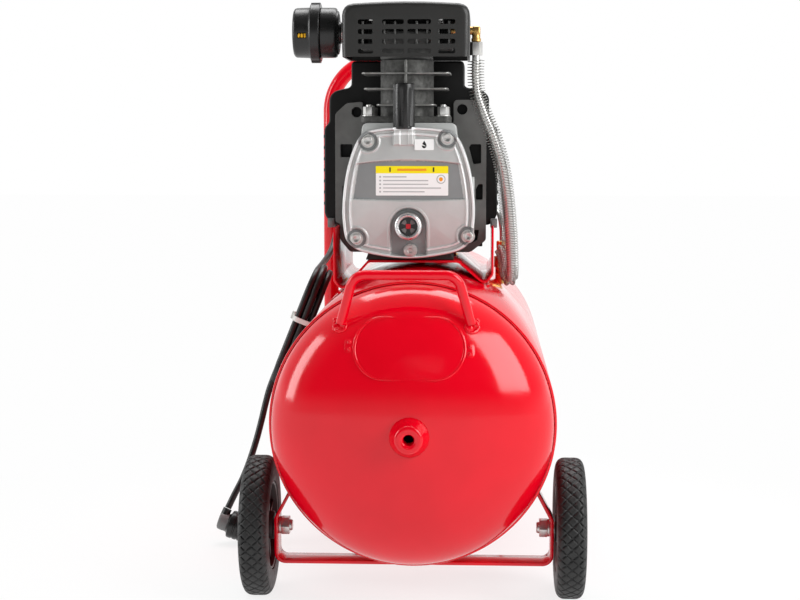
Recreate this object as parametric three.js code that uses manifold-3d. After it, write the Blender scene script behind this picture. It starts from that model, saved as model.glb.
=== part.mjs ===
// Portable 50 litre air compressor: a horizontal tank on two wheels and two rubber feet, with a
// direct-drive piston pump on a pressed saddle. Millimetres, +X right, +Y away from the pump's
// front cover, +Z up, floor at z = 0. Inside the assembly y = 0 is the tank barrel's front edge.
import * as THREE from "three";
import { mergeVertices } from "three/addons/utils/BufferGeometryUtils.js";
import Module from "manifold-3d";

const wasm = await Module();
wasm.setup();

// ---- driving dimensions ----
const gap = 0.3; // clearance between touching pieces
const tank = { radius: 150, length: 621, sheet: 2.5, axisZ: 194, domeDepth: 75 };
const dome = { radius: 147, skirt: 15 };
const bungProud = 18; // how far the front bung stands out of its dome
const wheel = { radius: 75, y: 50, inner: 150.5, outer: 182 };
const bracket = { width: 34, thickness: 3.5, halfSpan: 147.2, bottomZ: 37 };
const foot = { y: 560, halfSpan: 96, x: 78, height: 18 };
const saddle = { x: -6, front: 170, back: 430, sheet: 2.5, plateauZ: 351.3, wallHalf: 89.5, wallTop: 389 };
const pump = { x: -10, shaftZ: 430, cylinderY: 190 };
const coverDepth = { front: 130, flange: 140, back: 150 };
const caseDepth = { front: 150.3, back: 228 };
const frameDepth = { front: 228.3, back: 240 };
const motor = { front: 240.3, back: 378, radius: 66, bore: 48 };
const fanCover = { back: 418, radius: 70, sheet: 2.5 };
const shaftRadius = 8;
const bore = 23.5;
const stroke = 38;
const cylinderZ = { bottom: 507.3, top: 577 };
const headTop = 620;
const headCover = { left: -85, right: 57, front: 153, back: 265, bottom: 580, top: 641, sheet: 2.5 };
const filter = { y: 200, z: 609 };
const tubeRadius = 9; // outside of the discharge tube's cooling fins
const outlet = { x: -10, y: 490 }; // pressure switch and outlet block, behind the motor
const cordRadius = 4;
const hank = { y: 340, angle: 21.9, halfStraight: 45, foldRadius: 36.1, layers: 3, pitch: 8.1 };

const frontEnd = -(tank.domeDepth + bungProud);
const rearEnd = tank.length + tank.domeDepth;

// ---- materials ----
const finish = (color, roughness, metalness) =>
  new THREE.MeshStandardMaterial({ color, roughness, metalness });
const redPaint = finish(0xd80018, 0.25, 0.1);
const castAluminium = finish(0xb9bbba, 0.45, 0.8);
const castIron = finish(0x3a3a38, 0.7, 0.5);
const darkFrame = finish(0x55565a, 0.6, 0.2);
const blackPlastic = finish(0x1c1c1d, 0.55, 0);
const rubber = finish(0x151515, 0.85, 0);
const steel = finish(0xa6a8aa, 0.35, 1);
const brass = finish(0xc8943c, 0.35, 1);
const rimPlastic = finish(0x2a1a18, 0.6, 0.1);
const glass = finish(0x801010, 0.1, 0);

// ---- solids ----
function solid(geometry) {
  const open = geometry.index ? geometry.toNonIndexed() : geometry.clone();
  open.deleteAttribute("normal");
  open.deleteAttribute("uv");
  const merged = mergeVertices(open, 1e-3);
  const corners = merged.index.array;
  const kept = [];
  for (let i = 0; i < corners.length; i += 3) {
    const [a, b, c] = corners.slice(i, i + 3);
    if (a !== b && b !== c && c !== a) kept.push(a, b, c);
  }
  const vertProperties = merged.attributes.position.array;
  const make = (triVerts) =>
    new wasm.Manifold(new wasm.Mesh({ numProp: 3, vertProperties, triVerts: new Uint32Array(triVerts) }));
  const made = make(kept);
  if (made.volume() >= 0) return made;
  return make(kept.reverse());
}

function geometryOf(body) {
  const mesh = body.getMesh();
  const geometry = new THREE.BufferGeometry();
  geometry.setAttribute("position", new THREE.BufferAttribute(new Float32Array(mesh.vertProperties), 3));
  geometry.setIndex(new THREE.BufferAttribute(new Uint32Array(mesh.triVerts), 1));
  geometry.computeVertexNormals();
  return geometry;
}

const join = (...bodies) => bodies.reduce((a, b) => a.add(b));
const cut = (body, ...tools) => tools.reduce((a, b) => a.subtract(b), body);

// A box from its lowest to its highest corner.
function box([x0, y0, z0], [x1, y1, z1]) {
  const shape = new THREE.BoxGeometry(x1 - x0, y1 - y0, z1 - z0);
  return solid(shape.translate((x0 + x1) / 2, (y0 + y1) / 2, (z0 + z1) / 2));
}

// Revolves [radius, height] points about the axis "x", "y" or "z" through a point.
function turned(points, axis, [x, y, z], segments = 16) {
  const shape = new THREE.LatheGeometry(points.map(([r, h]) => new THREE.Vector2(r, h)), segments);
  if (axis === "x") shape.rotateZ(-Math.PI / 2);
  if (axis === "z") shape.rotateX(Math.PI / 2);
  return solid(shape.translate(x, y, z));
}

const disc = (radius, from, to, axis, centre, segments) =>
  turned([[0, from], [radius, from], [radius, to], [0, to]], axis, centre, segments);

const ring = (inner, outer, from, to, axis, centre, segments) =>
  turned([[inner, from], [outer, from], [outer, to], [inner, to], [inner, from]], axis, centre, segments);

// A flat outline of [x, z] points, extruded from y0 to y1.
function plate(points, y0, y1, [x, z] = [0, 0]) {
  const outline = new THREE.Shape(points.map(([px, pz]) => new THREE.Vector2(px, pz)));
  const shape = new THREE.ExtrudeGeometry(outline, { depth: y1 - y0, bevelEnabled: false });
  return solid(shape.rotateX(Math.PI / 2).translate(x, y1, z));
}

// Replaces each corner of an open polyline by an arc of short chords.
function rounded(points, radius, chords = 4) {
  const corners = points.map((p) => new THREE.Vector3(...p));
  const path = [corners[0]];
  for (let i = 1; i < corners.length - 1; i++) {
    const into = corners[i].clone().sub(corners[i - 1]).normalize();
    const away = corners[i + 1].clone().sub(corners[i]).normalize();
    const turn = into.angleTo(away);
    const setBack = radius * Math.tan(turn / 2);
    const start = corners[i].clone().addScaledVector(into, -setBack);
    const inward = away.clone().addScaledVector(into, -away.dot(into)).normalize();
    for (let k = 0; k <= chords; k++) {
      const a = (turn * k) / chords;
      const point = start.clone().addScaledVector(into, radius * Math.sin(a));
      path.push(point.addScaledVector(inward, radius * (1 - Math.cos(a))));
    }
  }
  path.push(corners[corners.length - 1]);
  return path;
}

// A path that has one section at each of its points.
class PointPath extends THREE.Curve {
  constructor(points) {
    super();
    this.points = points;
  }
  getPoint(t) {
    const place = t * (this.points.length - 1);
    const i = Math.min(Math.floor(place), this.points.length - 2);
    return this.points[i].clone().lerp(this.points[i + 1], place - i);
  }
  getPointAt(t) {
    return this.getPoint(t);
  }
  getTangent(t) {
    const i = Math.round(t * (this.points.length - 1));
    const before = this.points[Math.max(i - 1, 0)];
    const after = this.points[Math.min(i + 1, this.points.length - 1)];
    return after.clone().sub(before).normalize();
  }
  getTangentAt(t) {
    return this.getTangent(t);
  }
}

function rod(points, radius, sides = 10) {
  const section = new THREE.Shape();
  for (let i = 0; i < sides; i++) {
    const a = (2 * Math.PI * i) / sides;
    section[i ? "lineTo" : "moveTo"](radius * Math.cos(a), radius * Math.sin(a));
  }
  const extrudePath = new PointPath(points);
  return solid(new THREE.ExtrudeGeometry(section, { steps: points.length - 1, extrudePath }));
}

// A bar along hand-placed points, smoothed by a spline.
function smoothRod(points, radius, sections, sides = 8) {
  const corners = points.map((p) => new THREE.Vector3(...p));
  const spline = new THREE.CatmullRomCurve3(corners, false, "centripetal");
  return rod(spline.getSpacedPoints(sections), radius, sides);
}

// Flat strip bent along [x, z] points, extruded from y0 to y1.
function bentStrip(points, thickness, bend, y0, y1) {
  const middle = rounded(points.map(([x, z]) => [x, z, 0]), bend);
  const side = (sign) =>
    middle.map((p, i) => {
      const before = middle[Math.max(i - 1, 0)];
      const after = middle[Math.min(i + 1, middle.length - 1)];
      const along = after.clone().sub(before).normalize();
      return [p.x - (sign * along.y * thickness) / 2, p.y + (sign * along.x * thickness) / 2];
    });
  return plate([...side(1), ...side(-1).reverse()], y0, y1);
}

const hexagon = (acrossFlats, from, to, axis, centre) =>
  disc(acrossFlats / Math.sqrt(3), from, to, axis, centre, 6);

const tankHeight = (x) => tank.axisZ + Math.sqrt(tank.radius ** 2 - x ** 2);
const tankSpace = disc(tank.radius + gap, -20, tank.length + 20, "y", [0, 0, tank.axisZ], 32);

const assembly = new THREE.Group();
assembly.position.y = -(frontEnd + rearEnd) / 2;

function add(name, body, material) {
  const mesh = new THREE.Mesh(geometryOf(body), material);
  mesh.name = name;
  assembly.add(mesh);
}

// ---- tank ----
// Half-ellipse points from the skirt to the hole in the middle, grown by an offset.
function domeArc(offset, hole, steps) {
  const arc = [];
  const radius = dome.radius + offset;
  const depth = tank.domeDepth + offset;
  const last = Math.acos(hole / radius);
  for (let i = 0; i <= steps; i++) {
    const a = (last * i) / steps;
    arc.push([radius * Math.cos(a), -depth * Math.sin(a)]);
  }
  return arc;
}

function domeShell(hole) {
  const outer = domeArc(0, hole, 6);
  const inner = domeArc(-tank.sheet, hole, 4).reverse();
  const edge = [[dome.radius - tank.sheet, dome.skirt], [dome.radius, dome.skirt]];
  const profile = [...inner, ...edge, ...outer];
  if (hole) profile.push(inner[0]);
  return turned(profile, "y", [0, 0, tank.axisZ], 32);
}

// The solid that a dome's outside bounds, grown by an offset.
function solidDome(offset) {
  const arc = domeArc(offset, 1, 6);
  const tip = [0, arc[arc.length - 1][1]];
  return turned([[0, 0], ...arc, tip], "y", [0, 0, tank.axisZ], 32);
}

function tankPieces() {
  const axis = [0, 0, tank.axisZ];
  const inside = tank.radius - tank.sheet;
  add("tank_barrel", ring(inside, tank.radius, gap, tank.length - gap, "y", axis, 32), redPaint);
  add("tank_dome_front", domeShell(7), redPaint);
  add("tank_dome_rear", domeShell(0).mirror([0, 1, 0]).translate([0, tank.length, 0]), redPaint);
  const taper = [
    [5.5, -75.3], [20, -75.3], [19, -78], [13, -89], [13, frontEnd], [5.5, frontEnd], [5.5, -75.3],
  ];
  add("dome_bung", turned(taper, "y", axis, 20), redPaint);
}

function handles() {
  const x = -5;
  const front = [[x - 67, -33, 300], [x - 52, -50, 354], [x + 52, -50, 354], [x + 67, -33, 300]];
  add("front_handle", cut(rod(rounded(front, 16), 5), solidDome(gap)), redPaint);
  const left = -135;
  const right = 26;
  const top = 596.5;
  const rear = [[left, 575, 250], [left, 575, top], [right, 575, top], [right, 575, 335]];
  add("rear_handle", cut(rod(rounded(rear, 71, 7), 10, 12), tankSpace), redPaint);
}

// ---- wheels and feet ----
function axleBracket() {
  const { halfSpan: half, thickness, bottomZ } = bracket;
  const side = [[half, bottomZ + thickness / 2], [half, 86], [half - 20, 124]];
  const points = [...side.map(([x, z]) => [-x, z]).reverse(), ...side];
  const strip = bentStrip(points, thickness, 10, wheel.y - bracket.width / 2, wheel.y + bracket.width / 2);
  const hole = disc(6.4, -160, 160, "x", [0, wheel.y, wheel.radius]);
  add("axle_bracket", cut(strip, tankSpace, hole), redPaint);
}

function wheelPieces(side, name) {
  const centre = [0, wheel.y, wheel.radius];
  const out = (profile) => profile.map(([r, x]) => [r, side * x]);
  const { inner, outer } = wheel;
  const rim = [
    [6.25, inner], [15, inner], [15, 163], [44, 163], [47, inner + 2], [47, outer - 2], [44, 167],
    [15, 167], [15, 176], [6.25, 176], [6.25, inner],
  ];
  add("wheel_rim_" + name, turned(out(rim), "x", centre, 24), rimPlastic);
  const tread = [
    [47.4, 152.5], [47.4, 180], [58, outer], [70, 180.5], [wheel.radius, 174], [wheel.radius, 158.5],
    [70, 152], [58, inner], [47.4, 152.5],
  ];
  add("tyre_" + name, turned(out(tread), "x", centre, 32), rubber);
  const bolt = join(
    disc(6, side * 130, side * 177, "x", centre, 24),
    hexagon(18, side * 176.4, side * 183, "x", centre),
    hexagon(18, side * 134, side * 143, "x", centre),
    disc(9.5, side * 142.5, side * 145, "x", centre, 12),
  );
  add("axle_bolt_" + name, bolt, steel);
}

function rearFeet() {
  const z = foot.height + gap + bracket.thickness / 2;
  const half = foot.halfSpan;
  const points = [[-half, 84], [-half, z], [half, z], [half, 84]];
  const strip = bentStrip(points, bracket.thickness, 8, foot.y - 17, foot.y + 17);
  add("foot_bracket", cut(strip, tankSpace), redPaint);
  const profile = [[0, 0], [17, 0], [18, 3], [14, foot.height], [0, foot.height]];
  add("rubber_foot_left", turned(profile, "z", [-foot.x, foot.y, 0], 16), rubber);
  add("rubber_foot_right", turned(profile, "z", [foot.x, foot.y, 0], 16), rubber);
}

// ---- saddle ----
function saddlePieces() {
  const { x, sheet, plateauZ: top, wallHalf: wall, wallTop } = saddle;
  const valley = (side) => tankHeight(x + side * 82) + 2 * gap + sheet / 2;
  const half = (side) => [
    [x + side * 51, top], [x + side * 82, valley(side)], [x + side * wall, valley(side) + 7],
    [x + side * wall, wallTop],
  ];
  const points = [...half(-1).reverse(), ...half(1)];
  const strip = bentStrip(points, sheet, 4, saddle.front, saddle.back);
  add("saddle", cut(strip, tankSpace), redPaint);
  const padBottom = top + sheet / 2 + gap;
  const pad = (y0, y1, height) => box([pump.x - 50, y0, padBottom], [pump.x + 50, y1, padBottom + height]);
  add("rubber_mount_front", pad(172, 226, 8), rubber);
  const cradle = disc(motor.radius + gap, 300, 380, "y", [pump.x, 0, pump.shaftZ], 28);
  add("rubber_mount_rear", cut(pad(335, 368, 22), cradle), rubber);
}

// ---- pump ----
const caseOutline = [
  [-46, 364], [-63, 372], [-70, 388], [-70, 424], [-64, 462], [-53, 492], [-52, 507],
  [52, 507], [53, 492], [64, 462], [70, 424], [70, 388], [63, 372], [46, 364],
];
const coverOutline = [
  [0, 357], [-32, 360], [-58, 367], [-68, 376], [-73, 396], [-73, 424], [-67, 461], [-56, 490], [-48, 497],
  [0, 503], [48, 497], [56, 490], [67, 461], [73, 424], [73, 396], [68, 376], [58, 367], [32, 360],
];
const shrunk = (points, by) =>
  points.map(([x, z]) => [x * (1 - by / 70), pump.shaftZ + (z - pump.shaftZ) * (1 - by / 70)]);
const onPump = [pump.x, 0];
const shaftCentre = [pump.x, 0, pump.shaftZ];
const cylinderCentre = [pump.x, pump.cylinderY, 0];
const sightZ = 393;

function crankcase() {
  const body = plate(caseOutline, caseDepth.front, caseDepth.back, onPump);
  const cavity = plate(shrunk(caseOutline, 8), caseDepth.front - 1, 218, onPump);
  const shaftHole = disc(shaftRadius + 1, 210, 230, "y", shaftCentre);
  const cylinderHole = disc(bore + 2, 480, 510, "z", cylinderCentre, 20);
  add("crankcase", cut(body, cavity, shaftHole, cylinderHole), castAluminium);
}

function crankcaseCover() {
  const flange = plate(coverOutline, coverDepth.flange, coverDepth.back, onPump);
  const face = plate(shrunk(coverOutline, 8), coverDepth.front, coverDepth.flange, onPump);
  const arch = [[-20, 340], [-20, 392]];
  for (let i = 0; i <= 8; i++) {
    const a = Math.PI * (1 - i / 8);
    arch.push([20 * Math.cos(a), 392 + 20 * Math.sin(a)]);
  }
  arch.push([20, 340]);
  const recess = plate(arch, 120, coverDepth.flange, onPump);
  const boss = disc(15.5, coverDepth.front, coverDepth.flange, "y", [pump.x, 0, sightZ]);
  const fillerBoss = box([pump.x - 16, coverDepth.front, 470], [pump.x + 6, coverDepth.back, 499.5]);
  const sightHole = disc(12.3, 120, 160, "y", [pump.x, 0, sightZ]);
  const corners = coverBolts.map(([x, z]) => disc(9.5, 120, coverDepth.flange - 4, "y", [x, 0, z], 16));
  const drainHole = disc(4.4, 120, 160, "y", [pump.x + 2, 0, 366], 12);
  const body = join(cut(join(flange, face), recess, ...corners), boss, fillerBoss);
  const plugSeat = disc(11.4, 499.7, 520, "z", [pump.x - 5, 139, 0]);
  add("crankcase_cover", cut(body, sightHole, drainHole, plugSeat), castAluminium);
}

const coverBolts = [[-55, 487], [33, 490], [-68, 379], [56, 382]];

function coverFittings() {
  const centre = [pump.x + 2, 0, 366];
  const front = coverDepth.flange - 6.3;
  const thread = disc(4, front + 5, front + 15, "y", centre, 12);
  add("oil_drain_plug", join(hexagon(14, front, front + 6, "y", centre), thread), steel);
  const lens = [[0, 131], [8, 131], [8, 128], [12, 128], [12, 148], [0, 148]];
  add("oil_sight_glass", turned(lens, "y", [pump.x, 0, sightZ], 24), glass);
  const plug = [[0, 500], [11, 500], [11, 549], [9, 552], [0, 552]];
  add("oil_filler_plug", turned(plug, "z", [pump.x - 5, 139, 0], 16), blackPlastic);
}

function cylinderAndHead() {
  const { bottom, top } = cylinderZ;
  const tubeBody = disc(30, bottom, top, "z", cylinderCentre, 20);
  const slab = (half, z, thick) =>
    box([pump.x - half, pump.cylinderY - 36, z], [pump.x + half, pump.cylinderY + 36, z + thick]);
  const rib = box([pump.x - 1.5, pump.cylinderY - 34, 545], [pump.x + 1.5, pump.cylinderY + 34, top]);
  const body = join(tubeBody, slab(50, bottom, 7), slab(47, 543.5, 2.5), slab(49.5, 560.5, 2.5), rib);
  add("cylinder", cut(body, disc(bore, 500, 580, "z", cylinderCentre, 20)), castIron);
  const crown = disc(bore - gap, 545, 572, "z", cylinderCentre, 20);
  const pinSpace = disc(bore - 4, 540, 566, "z", cylinderCentre, 12);
  add("piston", cut(crown, pinSpace), castAluminium);
  const headX = (headCover.left + headCover.right) / 2;
  const low = [headX - 52, pump.cylinderY - 34, top + gap];
  const block = box(low, [headX + 52, pump.cylinderY + 34, headTop]);
  const intake = disc(9, headCover.left + 6, headX, "x", [0, filter.y, filter.z]);
  const exhaust = disc(5.2, 20, 60, "x", [0, filter.y, 611]);
  add("cylinder_head", cut(block, intake, exhaust), castAluminium);
}

function headShell() {
  const { left, right, front, back, bottom, top, sheet } = headCover;
  const profile = (inset) => [
    [left + inset, bottom - inset], [left + inset, top - 14], [left + 4 + inset, top - 6],
    [left + 14, top - 2 - inset], [(left + right) / 2, top - inset], [right - 14, top - 2 - inset],
    [right - 4 - inset, top - 6], [right - inset, top - 14], [right - inset, bottom - inset],
  ];
  const shell = cut(plate(profile(0), front, back), plate(profile(sheet), front + sheet, back - sheet));
  const intake = disc(14, left - 5, left + 10, "x", [0, filter.y, filter.z]);
  const exhaust = disc(8, right - 10, right + 5, "x", [0, filter.y, 611]);
  add("head_cover", cut(shell, intake, exhaust), blackPlastic);
}

function airFilter() {
  const centre = [0, filter.y, filter.z];
  const body = [
    [0, -76.5], [8.7, -76.5], [8.7, -86], [12.5, -87], [12.5, -91], [23, -91], [23, -93], [28.2, -94.5],
    [28.2, -111.7], [20, -99], [0, -99],
  ];
  add("air_filter_body", turned(body, "x", centre, 20), blackPlastic);
  const cap = [
    [0, -143], [24, -142.5], [27.5, -140], [28.4, -122.5], [33, -122.5], [33, -112], [22, -112], [22, -137],
    [0, -137],
  ];
  add("air_filter_cap", turned(cap, "x", centre, 20), blackPlastic);
  add("filter_element", ring(8, 19.5, -136, -99.4, "x", centre, 14), rubber);
}

function dischargeLine() {
  const x = 63.8;
  const elbow = rod(rounded([[30, filter.y, 611], [x, filter.y, 611], [x, filter.y, 598.6]], 6), 5, 8);
  add("discharge_elbow", elbow, brass);
  const nut = hexagon(13, 579, 598.3, "z", [x, filter.y, 0]);
  const run = [
    [x, 200, 579.6], [63.6, 201, 560], [65.5, 202, 540], [73.5, 203, 517], [84, 206, 492], [93, 213, 462],
    [99, 226, 425], [103, 244, 385], [105, 258, 355], [105.5, 268, 336], [105, 283, 324],
    [103.5, 300, 323.5], [102, 318, 331], [100, 338, 343], [98, 356, 349], [96.5, 368.5, 350],
  ];
  add("discharge_tube", join(nut, smoothRod(run, tubeRadius, 28, 8)), steel);
  const centre = [96.5, 380, 0];
  const valve = join(
    disc(8.2, 300, 330, "z", centre, 12),
    hexagon(17, 329, 343, "z", centre),
    disc(7, 342, 362, "z", centre, 12),
    disc(6, 369.8, 380, "y", [centre[0], 0, 350], 10),
  );
  add("check_valve", cut(valve, tankSpace), brass);
}

function motorPieces() {
  const outline = [
    [-83.6, 372], [-83.6, 391], [-89, 391], [-89, 518], [-76, 530], [-57, 532], [-57, 506.8],
    [48, 506.8], [48, 534], [86, 534], [86, 372], [68, 358], [-72, 358],
  ];
  const window = (x, z, w, h) =>
    plate([[x, z], [x + w, z], [x + w, z + h], [x, z + h]], 220, 250, onPump);
  const openings = [
    disc(6, 220, 250, "y", [pump.x - 64, 0, 520], 16), disc(6, 220, 250, "y", [pump.x + 58, 0, 523], 16),
    window(-83, 468, 14, 15), window(66, 460, 14, 23), window(-81, 418, 9, 17), window(74, 419, 8, 18),
    window(70, 370, 8, 14), disc(shaftRadius + 1, 220, 250, "y", shaftCentre),
  ];
  const frame = plate(outline, frameDepth.front, frameDepth.back, onPump);
  add("motor_end_frame", cut(frame, ...openings), darkFrame);
  const { front, back, radius, bore: hole } = motor;
  const housing = [
    [radius, front], [radius, back], [shaftRadius + 1, back], [shaftRadius + 1, back - 6], [hole, back - 6],
    [hole, front], [radius, front],
  ];
  add("motor_housing", turned(housing, "y", shaftCentre, 28), castAluminium);
  add("rotor", ring(shaftRadius + gap, 45, 262, 350, "y", shaftCentre, 20), steel);
  const throwZ = pump.shaftZ + stroke / 2;
  const webOutline = [[-9, 28], [-14, 0], [-26, -10], [-20, -30], [20, -30], [26, -10], [14, 0], [9, 28]];
  const web = plate(webOutline, 199, 209, [pump.x, pump.shaftZ]);
  const crank = join(
    disc(shaftRadius, 205, 402, "y", shaftCentre, 16), web, disc(7, 181, 200, "y", [pump.x, 0, throwZ], 12),
  );
  add("crankshaft", crank, steel);
  const hub = ring(shaftRadius + gap, 18, 383, 401, "y", shaftCentre, 16);
  const blades = [];
  for (let i = 0; i < 7; i++) {
    const blade = box([-1.2, 384, 15], [1.2, 400, 60]).rotate([0, (360 * i) / 7, 0]);
    blades.push(blade.translate([pump.x, 0, pump.shaftZ]));
  }
  add("cooling_fan", join(hub, ring(15, 60, 383, 385, "y", shaftCentre, 16), ...blades), blackPlastic);
  const { radius: outer, sheet, back: coverBack } = fanCover;
  const cup = [
    [outer, motor.back + gap], [outer, coverBack - 8], [outer - 8, coverBack], [0, coverBack],
    [0, coverBack - sheet], [outer - 9, coverBack - sheet], [outer - sheet, coverBack - 9],
    [outer - sheet, motor.back + gap], [outer, motor.back + gap],
  ];
  add("fan_cover", turned(cup, "y", shaftCentre, 24), blackPlastic);
  const capacitor = box([pump.x - 24, 268, 498], [pump.x + 24, 345, 530]);
  const round = disc(radius + gap, 240, 380, "y", shaftCentre, 28);
  add("capacitor_box", cut(capacitor, round), blackPlastic);
}

function airGuide() {
  const outline = [
    [-94, 389], [-103, 400], [-103, 502], [-97, 508], [-97, 538], [-90, 545], [-71, 549], [-71, 579],
    [60, 579], [60, 549], [82, 545], [89, 538], [89, 508], [99, 502], [99, 400], [91, 389],
  ];
  const inner = [
    [-90, 380], [-100, 401], [-100, 500], [-94, 507], [-94, 537], [-88, 542], [-68, 546], [-68, 576],
    [57, 576], [57, 546], [80, 542], [86, 537], [86, 507], [96, 500], [96, 401], [87, 380],
  ];
  const shell = cut(plate(outline, 240.3, 322, onPump), plate(inner, 243.3, 330, onPump));
  add("air_guide", cut(shell, disc(motor.radius + 1, 230, 330, "y", shaftCentre, 28)), blackPlastic);
}

// ---- pressure switch and outlets ----
function outletPieces() {
  const { x, y } = outlet;
  const stem = join(
    disc(9, 335, 372, "z", [x, y, 0], 16),
    box([x - 15, y - 15, 370], [x + 15, y + 15, 397]),
    disc(7, x - 40, x - 10, "x", [0, y, 384], 12),
    disc(7, x + 10, x + 36, "x", [0, y, 384], 12),
    disc(7, y + 10, y + 22, "y", [x, 0, 384], 12),
  );
  add("outlet_block", cut(stem, tankSpace), brass);
  add("pressure_switch", box([x - 32, y - 32, 397.3], [x + 32, y + 32, 468]), blackPlastic);
  const stalk = [[0, 468.3], [6, 468.3], [6, 476], [13, 478], [14, 486], [11, 490], [0, 491]];
  add("switch_knob", turned(stalk, "z", [x, y, 0], 14), redPaint);
  const regulator = [[0, 362], [12, 362], [16, 368], [16, 398], [10, 402], [0, 402]];
  const rx = x - 56.5;
  add("pressure_regulator", turned(regulator, "z", [rx, y, 0], 14), brass);
  const grip = [[0, 402.3], [17, 402.3], [18, 405], [17, 430], [15, 432], [0, 432]];
  add("regulator_knob", turned(grip, "z", [rx, y, 0], 14), blackPlastic);
  const gauge = [
    [0, y + 18], [4, y + 18], [4, y + 24], [20, y + 24], [21, y + 27], [21, y + 36], [0, y + 36],
  ];
  add("pressure_gauge", turned(gauge, "y", [rx, 0, 384], 16), steel);
  const coupler = [
    [0, y + 22.3], [10, y + 22.3], [10, y + 34], [8, y + 34], [8, y + 56], [5.5, y + 56], [5.5, y + 34],
    [0, y + 34],
  ];
  add("outlet_coupler", turned(coupler, "y", [x, 0, 384], 14), brass);
  add("coupler_sleeve", ring(8.3, 12, y + 41, y + 57, "y", [x, 0, 384], 14), steel);
  const relief = [[0, 372], [7, 372], [8, 376], [8, 396], [5, 400], [5, 406], [0, 406]];
  add("safety_valve", turned(relief, "z", [x + 44.6, y, 0], 12), brass);
  add("safety_valve_pull", ring(2, 8, -1.2, 1.2, "y", [x + 44.6, y, 414.5], 12), steel);
  const drain = join(disc(8, -4, 14, "z", [0, 300, 34], 16), disc(4, -8, 0, "z", [0, 300, 34], 12));
  add("drain_valve", cut(drain, tankSpace), brass);
  const wing = box([-9, 298.5, 14], [9, 301.5, 20]);
  add("drain_knob", join(disc(8, -17, -8.3, "z", [0, 300, 34], 12), wing), brass);
  const line = [
    [96.5, 380, 362.6], [96, 383, 378], [92, 396, 396], [80, 420, 404], [62, 446, 408], [44, 464, 409],
    [25, 470, 409],
  ];
  add("unloader_tube", smoothRod(line, 3, 14, 8), steel);
}

// ---- power cord ----
// The hank lies flat against the tank's left side: "up" points away from the tank's axis,
// and "along" runs down the side.
const lean = THREE.MathUtils.degToRad(hank.angle);
const outward = new THREE.Vector3(-Math.cos(lean), 0, Math.sin(lean));
const downSide = new THREE.Vector3(-Math.sin(lean), 0, -Math.cos(lean));
const besideTank = (height, along, y) =>
  new THREE.Vector3(0, y, tank.axisZ).addScaledVector(outward, height).addScaledVector(downSide, along);

function cordPieces() {
  const relief = [[0, 0], [7.5, 0], [7, 6], [5, 30], [0, 30]];
  const exit = [outlet.x - 32, outlet.y - 5, 452];
  const gland = turned(relief.map(([r, h]) => [r, -h - gap]), "x", exit, 14);
  add("strain_relief", gland, rubber);
  const lead = [
    [-72.7, 485, 452], [-84, 484.5, 451], [-96, 482, 445], [-107, 477, 433], [-114, 470, 416],
    [-116.5, 461, 394], [-117, 450, 371], [-119.5, 434, 353], [-123, 413, 342.5], [-126, 392, 336.5],
    [-127.8, 372, 333],
  ];
  add("power_lead", smoothRod(lead, cordRadius, 18), rubber);
  const outer = hank.foldRadius + cordRadius;
  const stadium = [];
  for (let i = 0; i <= 16; i++) {
    const a = -Math.PI / 2 + (2 * Math.PI * i) / 16;
    const centre = i <= 8 ? hank.halfStraight : -hank.halfStraight;
    stadium.push([centre + outer * Math.cos(a), outer * Math.sin(a)]);
    if (i === 8) stadium.push([-hank.halfStraight + outer * Math.cos(a), outer * Math.sin(a)]);
  }
  const shape = new THREE.Shape(stadium.slice(0, -1).map(([a, b]) => new THREE.Vector2(a, b)));
  const thick = (hank.layers - 1) * hank.pitch + 2 * cordRadius;
  const flat = new THREE.ExtrudeGeometry(shape, { depth: thick, bevelEnabled: false });
  const across = new THREE.Vector3().crossVectors(outward, downSide);
  const turn = new THREE.Matrix4().makeBasis(downSide, across, outward);
  turn.setPosition(besideTank(tank.radius + 0.6, 0, hank.y));
  add("cord_hank", solid(flat.applyMatrix4(turn)), rubber);
  const tail = [
    besideTank(170.8, 79, hank.y - 28).toArray(), [-193, 310.5, 166], [-198, 306, 144], [-204, 300, 120],
    [-211, 293, 97], [-219, 286, 76], [-227.5, 280, 59], [-235.5, 274.6, 42.2],
  ];
  add("cord_tail", smoothRod(tail, cordRadius, 14), rubber);
  plug();
}

// Right-angled mains plug lying on the floor, its two pins pointing right and a little down.
function plug() {
  const body = [[0, 0], [10, 0], [11, 3], [11, 12], [17, 14], [17, 38], [0, 38]];
  const shell = turned(body, "x", [0, 0, 0], 16);
  const entry = rod([new THREE.Vector3(5, 0, 6), new THREE.Vector3(6.2, 2.9, 16)], 5, 8);
  const pin = (y) => disc(2.4, 37, 57, "x", [0, y, 0], 8);
  const whole = join(shell, entry, pin(-9.5), pin(9.5)).rotate([0, 18, 0]);
  add("mains_plug", whole.translate([-246.5, 271.5, 28.3]), blackPlastic);
}

tankPieces();
handles();
axleBracket();
wheelPieces(-1, "left");
wheelPieces(1, "right");
rearFeet();
saddlePieces();
crankcase();
crankcaseCover();
coverFittings();
cylinderAndHead();
headShell();
airFilter();
dischargeLine();
motorPieces();
airGuide();
outletPieces();
cordPieces();

const compressor = new THREE.Group();
compressor.add(assembly);
export default compressor;
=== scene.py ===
"""Looks of a portable air compressor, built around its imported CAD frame.

Shapes are written in millimetres in the assembly's own coordinates: x to the right, d behind the
tank barrel's front rim, z above the floor. mesh_piece() turns them into metres in the row frame.
"""
import math

import bmesh
import bpy
import numpy as np
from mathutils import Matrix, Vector, noise


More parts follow.
